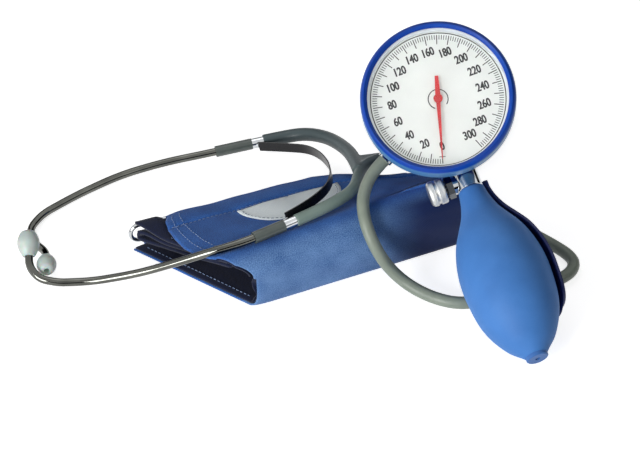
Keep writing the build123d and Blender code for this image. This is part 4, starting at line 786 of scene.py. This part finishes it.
# %% Fold
def fold_grid(inset, relief=1.0, hem=0.0, trim=0.0, pinch=0.0):
    """A sheet that follows the fold at a depth inside the skin, as points (rows, columns, 3). relief scales
    its unevenness, trim shortens it at all edges, and pinch draws it towards the wall's middle at its two
    ends. The parts are planes and arcs, joined: row by row they go once round the fold."""
    v = np.linspace(trim, 1 - trim, 150)[None, :]
    front_q = FRONT_LENGTH * v
    depth = inset + pinch * np.exp(-(np.minimum(v, 1 - v) - trim) * FRONT_LENGTH / 3.2)
    low, high = LOW_ROUND - depth, TOP_ROUND - depth

    # The underside, from the back edge to the lower round.
    s = np.linspace(1 - trim, 0.1, 36)[:, None]
    start = LOW_ROUND / along_line(under_back, v)[1]
    q, p = plan_point(v, start + (1 - start - trim) * (s - 0.1) / 0.9, under_back)
    lift = 0.5 * relief * soft_step(s, 0.2, 0.9) * np.abs(np.sin(q / 13 + 1))
    rows = [grid_of(q, p, np.maximum(depth - SOLE + lift, depth * 0.999))]

    # The lower round, a quarter circle.
    a = np.radians(np.linspace(-90, -180, 9))[1:, None]
    p = LOW_ROUND + low * np.cos(a)
    q = plan_point(v, p / UNDER_DEPTH, under_back)[0]
    rows.append(grid_of(q, p, np.maximum(LOW_ROUND - SOLE + low * np.sin(a), depth)))

    # The front wall swells a little and stands between the lower round and the middle of the upper one.
    slope = between(front_q, SLOPES)
    middle_z = between(front_q, HEIGHTS) - depth - high * np.sqrt(1 + slope**2)
    t = np.linspace(0, 1, 16)[1:-1, None]
    swell = 0.9 * np.sin(np.pi * v) ** 0.5 + 0.35 * np.sin(front_q / 11 + 5 * t)
    z = LOW_ROUND - SOLE + (middle_z - LOW_ROUND + SOLE) * t
    rows.append(grid_of(front_q, depth - relief * swell * np.sin(np.pi * t), z))

    # The upper round, an arc that ends where it meets the slope of the top.
    a = np.pi - (np.pi / 2 + np.arctan(slope)) * np.linspace(0, 1, 14)[:, None]
    p = TOP_ROUND + high * np.cos(a)
    q = plan_point(v, np.maximum(p, 0) / FLAP_DEPTH, flap_back, flap_left)[0]
    rows.append(grid_of(q, p, middle_z + high * np.sin(a)))

    # The top, from the end of the upper round to the back edge.
    start = p[-1:] / FLAP_DEPTH
    t = np.linspace(0, 1, 56)[1:, None]
    s = start + (1 - trim - start) * t
    q, p = plan_point(v, s, flap_back, flap_left)
    z = top_height(q, p) - depth + relief * top_relief(v, s, q, p) * soft_step(t, 0.0, 0.12)
    rows.append(grid_of(q, p, z))
    if hem:
        # The cloth turns down over the back edge and forwards again beneath the wall, as a hem does.
        before, after = [along_line(flap_back, np.clip(v + step, 0, 1)) for step in (-0.01, 0.01)]
        ahead_q, ahead_p = (after - before) / np.linalg.norm(after - before, axis=0)
        a = np.radians(np.linspace(90, -90, 10))[1:, None]
        reach = hem / 2 * np.cos(a)
        rows.append(grid_of(q[-1:] - ahead_p * reach, p[-1:] + ahead_q * reach,
                            z[-1:] - hem / 2 + hem / 2 * np.sin(a)))
        q, p, z = np.moveaxis(rows[-1][-1:], -1, 0)
        reach = np.array([(2.5,), (5.0,), (8.0,)])
        q_in, p_in = q + ahead_p * reach, p - ahead_q * reach
        rows.append(grid_of(q_in, p_in, z + top_height(q_in, p_in) - top_height(q, p)))
    return np.concatenate(rows)


def crumple(grid):
    """The lining is slack: near the cuff's left end it stands off the front wall in soft upright folds, which
    are sines that fade with the distance from that end."""
    q, p, z = np.moveaxis(grid, -1, 0)
    on_wall = (p < 14) * soft_step(z, 4.5, 9) * (1 - soft_step(z, 23, 30))
    near_end = np.exp(-np.maximum(q + 4, 0) / 16) * on_wall
    p = p + near_end * (3.8 + 2.3 * np.sin(z / 1.9 + q / 2.6) + 1.2 * np.sin(q / 1.4 + 2))
    return grid_of(q + near_end * 1.2 * np.sin(z / 3.1), p, z)


# %% Folded end
TAIL_DEPTH, TAIL_THICK, LEAF_HALF = 5.9, 1.9, 1.3
tail_v = np.linspace(0, 1, 120)[None, :]


def leaf(level, start, end, height=0, peak=1, width=1, near=-31, far=-21):
    """One leaf at a level below the top, from one share of the end's depth to another. It ripples, and it may
    have a hump at its left: its height, the share at its peak, and how it fades back and along the cuff."""
    s = np.linspace(start, end, 26)[:, None]
    q, p = plan_point(tail_v, s, tail_back)
    ripple = 0.22 * np.sin(q / 6 + level) * np.sin(p / 9)
    hump = height * np.exp(-((s - peak) / width) ** 2) * (1 - soft_step(q, near, far))
    return grid_of(q, p, top_height(q, p) - level + ripple + hump)


def half_turn(level, share, way):
    """A half circle from one leaf to the next lower one, bulging to the front (-1) or the back (1)."""
    q, p = plan_point(tail_v, share, tail_back)
    a = np.radians(np.linspace(90, -90, 8))[1:-1, None]
    p = p + way * LEAF_HALF * np.cos(a)
    return grid_of(q, p, top_height(q, p) - level - LEAF_HALF + LEAF_HALF * np.sin(a))


# Three leaves, to the front, to the back and to the front again. The top leaf's free corner is drawn through
# the ring, so it humps up over the wire.
second, third = TAIL_DEPTH + 2 * LEAF_HALF, TAIL_DEPTH + 4 * LEAF_HALF
tail_points = np.concatenate([
    leaf(TAIL_DEPTH, 0.985, 0.25, 5.8, 0.98, 0.15), half_turn(TAIL_DEPTH, 0.25, -1),
    leaf(second, 0.25, 0.965, 2.4, 0.9, 0.12, -38, -26), half_turn(second, 0.965, 1),
    leaf(third, 0.965, 0.22)])
print("folded end:", tail_points.shape[0], "rows")

# %% Woven cloth
def woven(name, codes, thread, speck, front=None, painted_shadow_code=None):
    """Plain weave: crossed rows of threads, as the product of two sines on the sheet's own UVs, with uneven
    dye. front gives paler colours, painted light on the cuff's front wall, and the last code a near-black
    navy, painted shadow at that wall's right end. Real threads lie about 0.4 mm apart: these are drawn about
    1 mm apart, so that they show."""
    material, tree, shader = finish(name, Roughness=0.85, Specular_IOR_Level=0.25, Sheen_Weight=0.12,
                                    Sheen_Roughness=0.5)
    uv = add(tree, "TexCoord").outputs["UV"]
    split = add(tree, "SeparateXYZ", {0: uv})
    phases = [add(tree, "Math", {0: split.outputs[k], 1: 2 * math.pi / (thread * MM)}, operation="MULTIPLY")
              for k in (0, 1)]
    waves = [add(tree, "Math", {0: phase.outputs[0]}, operation="SINE") for phase in phases]
    cross = add(tree, "Math", {0: waves[0].outputs[0], 1: waves[1].outputs[0]}, operation="MULTIPLY")
    patches = add(tree, "TexNoise", {"Vector": uv, "Scale": 1 / (16 * MM), "Detail": 3.0})
    fine = add(tree, "TexNoise", {"Vector": uv, "Scale": 1 / (speck * MM), "Detail": 1.0})
    blend = add(tree, "Math", {0: patches.outputs["Fac"], 1: 0.55, 2: -0.05}, operation="MULTIPLY_ADD")
    speckled = add(tree, "Math", {0: fine.outputs["Fac"], 1: 0.9, 2: blend.outputs[0]},
                   operation="MULTIPLY_ADD")
    spread = add(tree, "MapRange", {"Value": speckled.outputs[0], "From Min": 0.35, "From Max": 1.0})
    mix = add(tree, "Mix", {0: spread.outputs[0], 6: linear(codes[0]), 7: linear(codes[1])},
              data_type="RGBA")
    if front:
        # Painted light: the front wall, which faces the low lamp, takes paler colours.
        place = add(tree, "SeparateXYZ", {0: in_frame(tree, cuff_place)})
        wall, right = [add(tree, "MapRange", {"Value": place.outputs[axis], "From Min": low * MM,
                                              "From Max": high * MM}, interpolation_type="SMOOTHSTEP")
                       for axis, low, high in (("Y", 13, 3), ("X", 62, 104))]
        painted_light_front = add(tree, "Mix", {0: spread.outputs[0], 6: linear(front[0]), 7: linear(front[1])},
                   data_type="RGBA")
        mix = add(tree, "Mix", {0: wall.outputs[0], 6: mix.outputs[2], 7: painted_light_front.outputs[2]},
                  data_type="RGBA")
        # Painted shadow: the right end of the front wall turns near-black navy.
        painted_shadow_mask = add(tree, "Math", {0: wall.outputs[0], 1: right.outputs[0]}, operation="MULTIPLY")
        mix = add(tree, "Mix", {0: painted_shadow_mask.outputs[0], 6: mix.outputs[2], 7: linear(painted_shadow_code)},
                  data_type="RGBA")
    tree.links.new(mix.outputs[2], shader.inputs["Base Color"])
    height = add(tree, "Math", {0: fine.outputs["Fac"], 1: 1.2, 2: cross.outputs[0]},
                 operation="MULTIPLY_ADD")
    bump = add(tree, "Bump", {"Height": height.outputs[0], "Distance": 0.05 * MM, "Strength": 1.0})
    tree.links.new(bump.outputs["Normal"], shader.inputs["Normal"])
    gloss = add(tree, "MapRange", {"Value": patches.outputs["Fac"], "To Min": 0.78, "To Max": 0.92})
    tree.links.new(gloss.outputs[0], shader.inputs["Roughness"])
    return material


# Outer cloth: coated nylon in a plain weave, matt, with a fine pale speckle where the threads cross.
# Its front wall takes paler colours as painted light, and the wall's right end a near-black navy as painted
# shadow.
outer_cloth = woven("blue_woven_nylon", ("143a7c", "4078c8"), 1.1, 0.6, ("1f4c8a", "7ba3d6"), "0b2150")
# Lining: the same yarn uncoated, in a far darker navy than the outer cloth.
lining_cloth = woven("navy_woven_lining", ("050a1a", "101c40"), 1.0, 0.6)
print("cloths:", outer_cloth.name, lining_cloth.name)

# %% Cloths, bladder and folded end
soft_piece("cuff_outer_sheet", fold_grid(0.0, hem=5.2, pinch=0.9), 1.1, "cuff_cloth", outer_cloth,
           "cuff_outer_cloth")
soft_piece("cuff_bladder_sheet", fold_grid(1.3, trim=0.06, relief=0.9), 1.9, "bladder_rubber", black_rubber,
           "cuff_bladder")
soft_piece("cuff_lining_sheet", crumple(fold_grid(3.5, trim=0.004, relief=0.9, pinch=-1.1)), 1.0,
           "cuff_lining", lining_cloth, "cuff_lining")
soft_piece("cuff_folded_end", tail_points, TAIL_THICK, "cuff_lining", lining_cloth, "cuff_tail", offset=0)

# %% [markdown]
# ## Small sewn pieces
# The label, the two fastening patches and the ring's sleeve are cut cloth, each one sheet of its own. They
# could be a texture on the cuff, but a sheet has an edge that catches the light. The label lies on the top,
# between the front fold and the hem.

# %% Label
LABEL_MIDDLE = (43, 55)
LABEL_SIZE = (31, 27)


def on_top(q, p):
    """A place on the cuff's top at given distances: the share along and across gives its relief."""
    s = p / FLAP_DEPTH
    left, right = flap_back[0, 0] * s, flap_back[-1, 0] * s + FRONT_LENGTH * (1 - s)
    v = (q - left) / (right - left)
    return grid_of(q, p, top_height(q, p) + top_relief(v, s, q, p))


# Bleached satin ribbon, slightly blue, with a faint rib from its weave. Its long floats catch the light that
# comes in low over them.
label_cloth = woven("white_satin_label", ("e6f3f6", "f6feff"), 0.9, 0.8)
label_cloth.node_tree.nodes["Principled BSDF"].inputs["Sheen Weight"].default_value = 0.9
share, angle = np.meshgrid(np.linspace(0.02, 1, 18), np.linspace(0, -np.pi, 61))
label_grid = on_top(LABEL_MIDDLE[0] + LABEL_SIZE[0] * share * np.cos(angle),
                    LABEL_MIDDLE[1] + LABEL_SIZE[1] * share * np.sin(angle))
label_grid[..., 2] += 0.5 + 0.12 * np.sin(9 * angle) * share**2
label_sheet = cloth_sheet("cuff_label_ribbon", label_grid, 0.4)
join_piece(label_sheet, "kit", "label", label_cloth, "cuff_label")
print("label:", len(label_sheet.data.vertices), "points")

# %% Patches and sleeve
# Hook-and-loop tape: a mat of fine loops on the one side and stubble on the other, both dyed navy.
tape_pile, tree, shader = finish("navy_hook_and_loop_tape", Roughness=0.95, Sheen_Weight=0.3)
mottle(tree, shader, ("0e1838", "1c2b58"), 1.2, detail=2.0)
grain(tree, shader, 0.7, 0.25, 0.85, 1.0)
TAPE_LEVEL = 12.6
for tape, node, near, far, low, high in (("hook_tape", "hook_patch", 12, 96, 20, 36),
                                         ("loop_tape", "loop_patch", 4, 70, 40, 60)):
    q, p = np.meshgrid(np.linspace(near, far, 70), np.linspace(low, high, 20))
    tape_grid = grid_of(q, p, top_height(q, p) - TAPE_LEVEL + 0.08 * np.sin(q / 3) * np.sin(p / 2))
    soft_piece(tape, tape_grid, 0.9, "patch", tape_pile, node)

# The sleeve is a strip of the outer cloth, wrapped round the ring's bar just behind the underside's back
# edge: a nearly full circle whose two ends run into the seam. It is a little squeezed where the thread pulls.
SLEEVE_RADIUS = 3.4
ring_frame = cuff_place @ shift(*under_back[0], 3.8) @ turned(-4.70, "Z") @ shift(0, 4.6, 0)
x = np.linspace(7.5, 96.5, 160)
wrap = np.radians(np.linspace(150, -150, 25))
girth = np.vstack([[(-4.5, 0.75), (-3.6, 1.0)], SLEEVE_RADIUS * np.stack([np.cos(wrap), np.sin(wrap)], -1),
                   [(-3.6, -1.0), (-4.5, -0.75)]])
squeeze = 1 - 0.035 * (1 + np.sin(x / 1.9)) - 0.03 * np.sin(x / 4.7 + 1)
y, z = girth.T[..., None]
sleeve_grid = grid_of(x, np.where(abs(y) < 3.5, y * squeeze, y), z * squeeze)
soft_piece("ring_sleeve_cloth", sleeve_grid, 0.9, "cuff_cloth", outer_cloth, "ring_sleeve",
           place=ring_frame)

# %% [markdown]
# ## Stitches
# Sewing thread shows as a row of short raised dashes, with a gap between each two where the thread dives
# under the cloth. A bump map could draw them, but they would vanish from the side. One mesh holds all of a
# thread's stitches: a small box for each, laid along its seam.

# %% Seams
STITCH_PITCH = 2.6
STITCH_SIZE = (1.6, 0.34, 0.3)
SOLE_LEVEL = 4.55


def stitch_boxes(line):
    """Boxes along a polyline in the cuff's frame: one each pitch, its length along the seam's heading, and
    its upper side narrower than its lower one."""
    step = np.append(0, np.cumsum(np.linalg.norm(np.diff(line, axis=0), axis=1)))
    place = np.arange(STITCH_PITCH / 2, step[-1], STITCH_PITCH)
    middle, ahead = [np.stack([np.interp(place + d, step, line[:, k]) for k in range(3)], -1)
                     for d in (0, 0.3)]
    way = ahead - middle
    way /= np.linalg.norm(way, axis=1, keepdims=True) + 1e-9
    side = np.cross((0, 0, 1.0), way)
    side /= np.linalg.norm(side, axis=1, keepdims=True)
    frame_of_stitch = np.stack([way, side, np.cross(way, side)], 1)
    size = (UNIT_BOX - 0.5) * STITCH_SIZE * np.where(UNIT_BOX[:, 2:] > 0, (0.75, 0.6, 1), (1, 1, 1))
    return (middle[:, None] + size @ frame_of_stitch).reshape(-1, 3)


def sewn(name, seams, slot, material):
    """One mesh with every stitch of some seams."""
    corners = np.vstack([stitch_boxes(line) for line in seams])
    count = len(corners) // 8
    join_piece(mesh_piece(name, placed(corners * MM, cuff_place), box_faces(count)), "kit", slot, material)
    print(name, count)


def flap_line(v, s, lift=0.12):
    """A line a little above the top, through shares along the cuff and shares of its depth."""
    q, p = plan_point(v, s, flap_back, flap_left)
    return grid_of(q, p, top_height(q, p) + top_relief(v, s, q, p) + lift)


def leaf_line(v):
    """A line a little above the folded end's top leaf, at one share along the cuff."""
    q, p = plan_point(v, np.linspace(0.35, 0.945, 90), tail_back)
    return grid_of(q, p, top_height(q, p) - TAIL_DEPTH + TAIL_THICK / 2 + 0.2)


hem_seam = flap_line(np.linspace(0.01, 0.97, 200), HEM_SEAM, 0.15)
left_seams = [flap_line(0.022, np.linspace(0.3, 0.97, 80)), flap_line(0.05, np.linspace(0.32, 0.97, 80))]
sole_seam = grid_of(*plan_point(0.025, np.linspace(0.1, 0.95, 90), under_back), SOLE_LEVEL)
# Sewing thread: pale blue polyester, twisted, so it catches the light on its upper side.
thread = coat("pale_sewing_thread", ("6078a4", "8ea3c6"), 2, Roughness=0.7, Sheen_Weight=0.2)
sewn("cuff_stitches", [hem_seam, *left_seams, sole_seam, leaf_line(0.02), leaf_line(0.045)], "cuff_cloth",
     thread)

# The label is sewn on with slate blue thread, along its arc and along its straight edge.
angle = np.linspace(-0.02, -np.pi + 0.02, 90)
label_arc = on_top(LABEL_MIDDLE[0] + 28.6 * np.cos(angle), 53.6 + 23.9 * np.sin(angle)) + (0, 0, 0.95)
label_edge = on_top(LABEL_MIDDLE[0] + np.linspace(-29.5, 29.5, 60), np.full(60, 54.0)) + (0, 0, 0.72)
slate_thread = coat("slate_sewing_thread", ("46586e", "5f7288"), 2, Roughness=0.7)
sewn("label_stitches", [label_arc, label_edge], "label", slate_thread)

# %% [markdown]
# ## Rubber fork
# The fork is moulded in one piece: two arms and the stem, with a thin web in the crotch so it doesn't tear.
# Tubes that only cross would show hard creases. So two tubes and a flat web are joined, remeshed to one skin
# and smoothed, which rounds the inner corners as a mould does.

# %% Fork's arms and web
NEAR_BRACKET = ((-30.0, -42.5, 38.2), (-8.4, -30.4, 39.9))
FAR_BRACKET = ((-56.0, 78.2, 4.2), (-29.0, 85.2, 6.2))
FORK = (33.6, 20.6, 37.2)
NEAR_ARM = [(24.1, -8.0, 41.2), (31.2, 2.6, 40.0)]
FAR_ARM = [(2.8, 88.2, 11.6), (15.4, 77.8, 17.0), (24.6, 60.4, 24.0), (30.7, 41.3, 31.0)]
WEB_CORNERS = ((FORK, 3.0), ((31.5, 37.0, 32.5), 2.3), ((50.0, 39.0, 34.0), 2.3))
arms = [free_tube("fork_near", [*beyond(*NEAR_BRACKET, 7, 19), *NEAR_ARM, FORK, *STEM]),
        free_tube("fork_far", [*beyond(*FAR_BRACKET, 7, 19), *FAR_ARM, FORK], 4.0)]
shape = bmesh.new()
for arm in arms:
    source = bpy.data.meshes.new_from_object(arm)
    shape.from_mesh(source)
    bpy.data.meshes.remove(source)
    bpy.data.objects.remove(arm)
# The web is a flat three-cornered plate between the far arm and the stem: the hull round a ball at each
# corner.
balls = bmesh.new()
for corner, radius in WEB_CORNERS:
    bmesh.ops.create_icosphere(balls, subdivisions=3, radius=radius * MM,
                               matrix=Matrix.Translation(Vector(corner) * MM))
hull = bmesh.ops.convex_hull(balls, input=balls.verts)
bmesh.ops.delete(balls, geom=list(set(hull["geom_interior"] + hull["geom_unused"])), context="VERTS")
web = bpy.data.meshes.new("fork_web")
balls.to_mesh(web)
balls.free()
shape.from_mesh(web)
bpy.data.meshes.remove(web)
print("fork before remeshing:", len(shape.verts), "points")

# %% Fork's skin
fork = linked("fork_skin", bpy.data.meshes.new("fork_skin"))
shape.to_mesh(fork.data)
shape.free()
remesh = fork.modifiers.new("one skin", "REMESH")
remesh.mode = "VOXEL"
remesh.voxel_size = 0.6 * MM
soften = fork.modifiers.new("mould rounds", "SMOOTH")
soften.iterations = 6
skin = bpy.data.meshes.new_from_object(fork.evaluated_get(bpy.context.evaluated_depsgraph_get()))
fork.modifiers.clear()
fork.data = skin
skin.shade_smooth()
skin.materials.append(fork_rubber)
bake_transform(fork)
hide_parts("y_tube", "y_far_arm")
print("fork skin:", len(skin.vertices), "points")

# %% [markdown]
# ## Release knob
# The knob is turned brass, knurled with fine straight teeth in two bands, and plated. A bump map could draw
# the teeth, but the outline would stay round. So they are a wave in the radius of a turned grid, cut only
# where the outline is a knurled band.

# %% Knob
TEETH = 60
TOOTH_DEPTH = 0.18
# It stands out sideways from the neck, and its foot is 13.3 mm from the handle's axis.
knob_place = handle_place @ shift(0, -9, 0) @ turned(-90, "Y") @ shift(0, 0, 13.3)
# Radius, height, and a one where the band is knurled.
knob_outline = np.array([
    (0, 6.62, 0), (2.05, 6.62, 0), (2.05, 0, 0), (6.3, 0, 0), (6.75, 0.15, 0), (7.05, 0.5, 0), (7.15, 0.8, 0),
    (7.2, 0.95, 1), (7.2, 2.4, 1), (7.2, 3.75, 1), (7.15, 3.95, 0), (6.6, 4.1, 0), (6.55, 4.3, 0),
    (6.55, 5.3, 0), (6.6, 5.5, 0), (7.15, 5.65, 0), (7.2, 5.8, 1), (7.2, 6.9, 1), (7.1, 7.8, 1),
    (6.95, 8.1, 0), (6.75, 8.5, 0), (6.2, 9.1, 0), (5.5, 9.45, 0), (4.6, 9.6, 0), (2.0, 9.62, 0),
    (0, 9.62, 0)])
radius, height, knurled = knob_outline.T[..., None]
angle = np.linspace(0, 2 * np.pi, 8 * TEETH + 1)
groove = TOOTH_DEPTH - TOOTH_DEPTH * np.abs(np.sin(TEETH / 2 * angle)) ** 0.8
knob_skin = grid_mesh("knurled_knob", revolved(radius - knurled * groove, height, angle, knob_place))
# Satin nickel: the teeth scatter light, so the whole knob reads as pale silver.
satin_nickel = coat("satin_nickel", ("d8d9d6", "e6e6e2"), METAL_PATCH, (1.5, 0.002, 0.36, 0.44),
                    Metallic=1.0)
join_piece(knob_skin, "knob", "chrome", satin_nickel, "release_knob")
print("knob:", len(knob_skin.data.vertices), "points")

# %% [markdown]
# ## Palm spoon
# The spoon is a moulded blade that the palm presses against. It could be cut from the bulb's own skin, but
# then it would touch it. So it is a sheet at a small distance from the bulb: it widens from a tab to its full
# width, ends in a half circle, and its two long edges turn away from the rubber.

# %% Spoon
SPOON_MIDDLE = math.radians(129.0)
SPOON_END = NECK_END + 81.0
SPOON_HALF = 22.5
SPOON_THICK = 1.8
SPOON_GAP = 1.6
TAB_HALF = 4.5


def spoon_grid(rows=84, columns=49):
    """Rows run from the tab to the rounded end, columns from edge to edge, as an angle round the handle's
    axis. The half width follows a circle over the last stretch."""
    straight = np.linspace(NECK_END - 4, SPOON_END - SPOON_HALF, rows - 28)
    rounded = SPOON_END - SPOON_HALF * (1 - np.sin(np.linspace(0, np.pi / 2 - 0.02, 29)[1:]))
    s = np.concatenate([straight, rounded])[:, None]
    middle = np.interp(s, bulb_line[:, 1], bulb_line[:, 0]) + SPOON_GAP + SPOON_THICK / 2
    grow = soft_step(s, NECK_END - 1, SPOON_END - 38)
    half = TAB_HALF + (SPOON_HALF - TAB_HALF) * grow
    into_end = np.clip(s - SPOON_END + SPOON_HALF, 0, None) / SPOON_HALF
    half = half * np.sqrt(np.clip(1 - into_end**2, 0, 1))
    across = np.linspace(-1, 1, columns)[None, :]
    radius = middle + 0.9 * np.abs(across) ** 5 * grow
    angle = SPOON_MIDDLE - half * across / middle
    return grid_of(radius * np.sin(angle), -s, radius * np.cos(angle))


blade = cloth_sheet("spoon_blade", spoon_grid(), SPOON_THICK, handle_place, offset=0)
join_piece(blade, "kit", "spoon_plastic", spoon_plastic, "palm_spoon")
# The tab is a small block under the screw, turned to face outwards.
tab_place = handle_place @ shift(0, 2 - NECK_END, 0) @ turned(135, "Y") @ shift(0, 0, 8.6)
tab_corners = (UNIT_BOX - 0.5) * (2 * TAB_HALF, 4, 2.6) * MM
spoon_tab = mesh_piece("spoon_tab", placed(tab_corners, tab_place), box_faces(1))
join_piece(spoon_tab, "kit", "spoon_plastic", spoon_plastic)
print("spoon:", len(blade.data.vertices), "points")
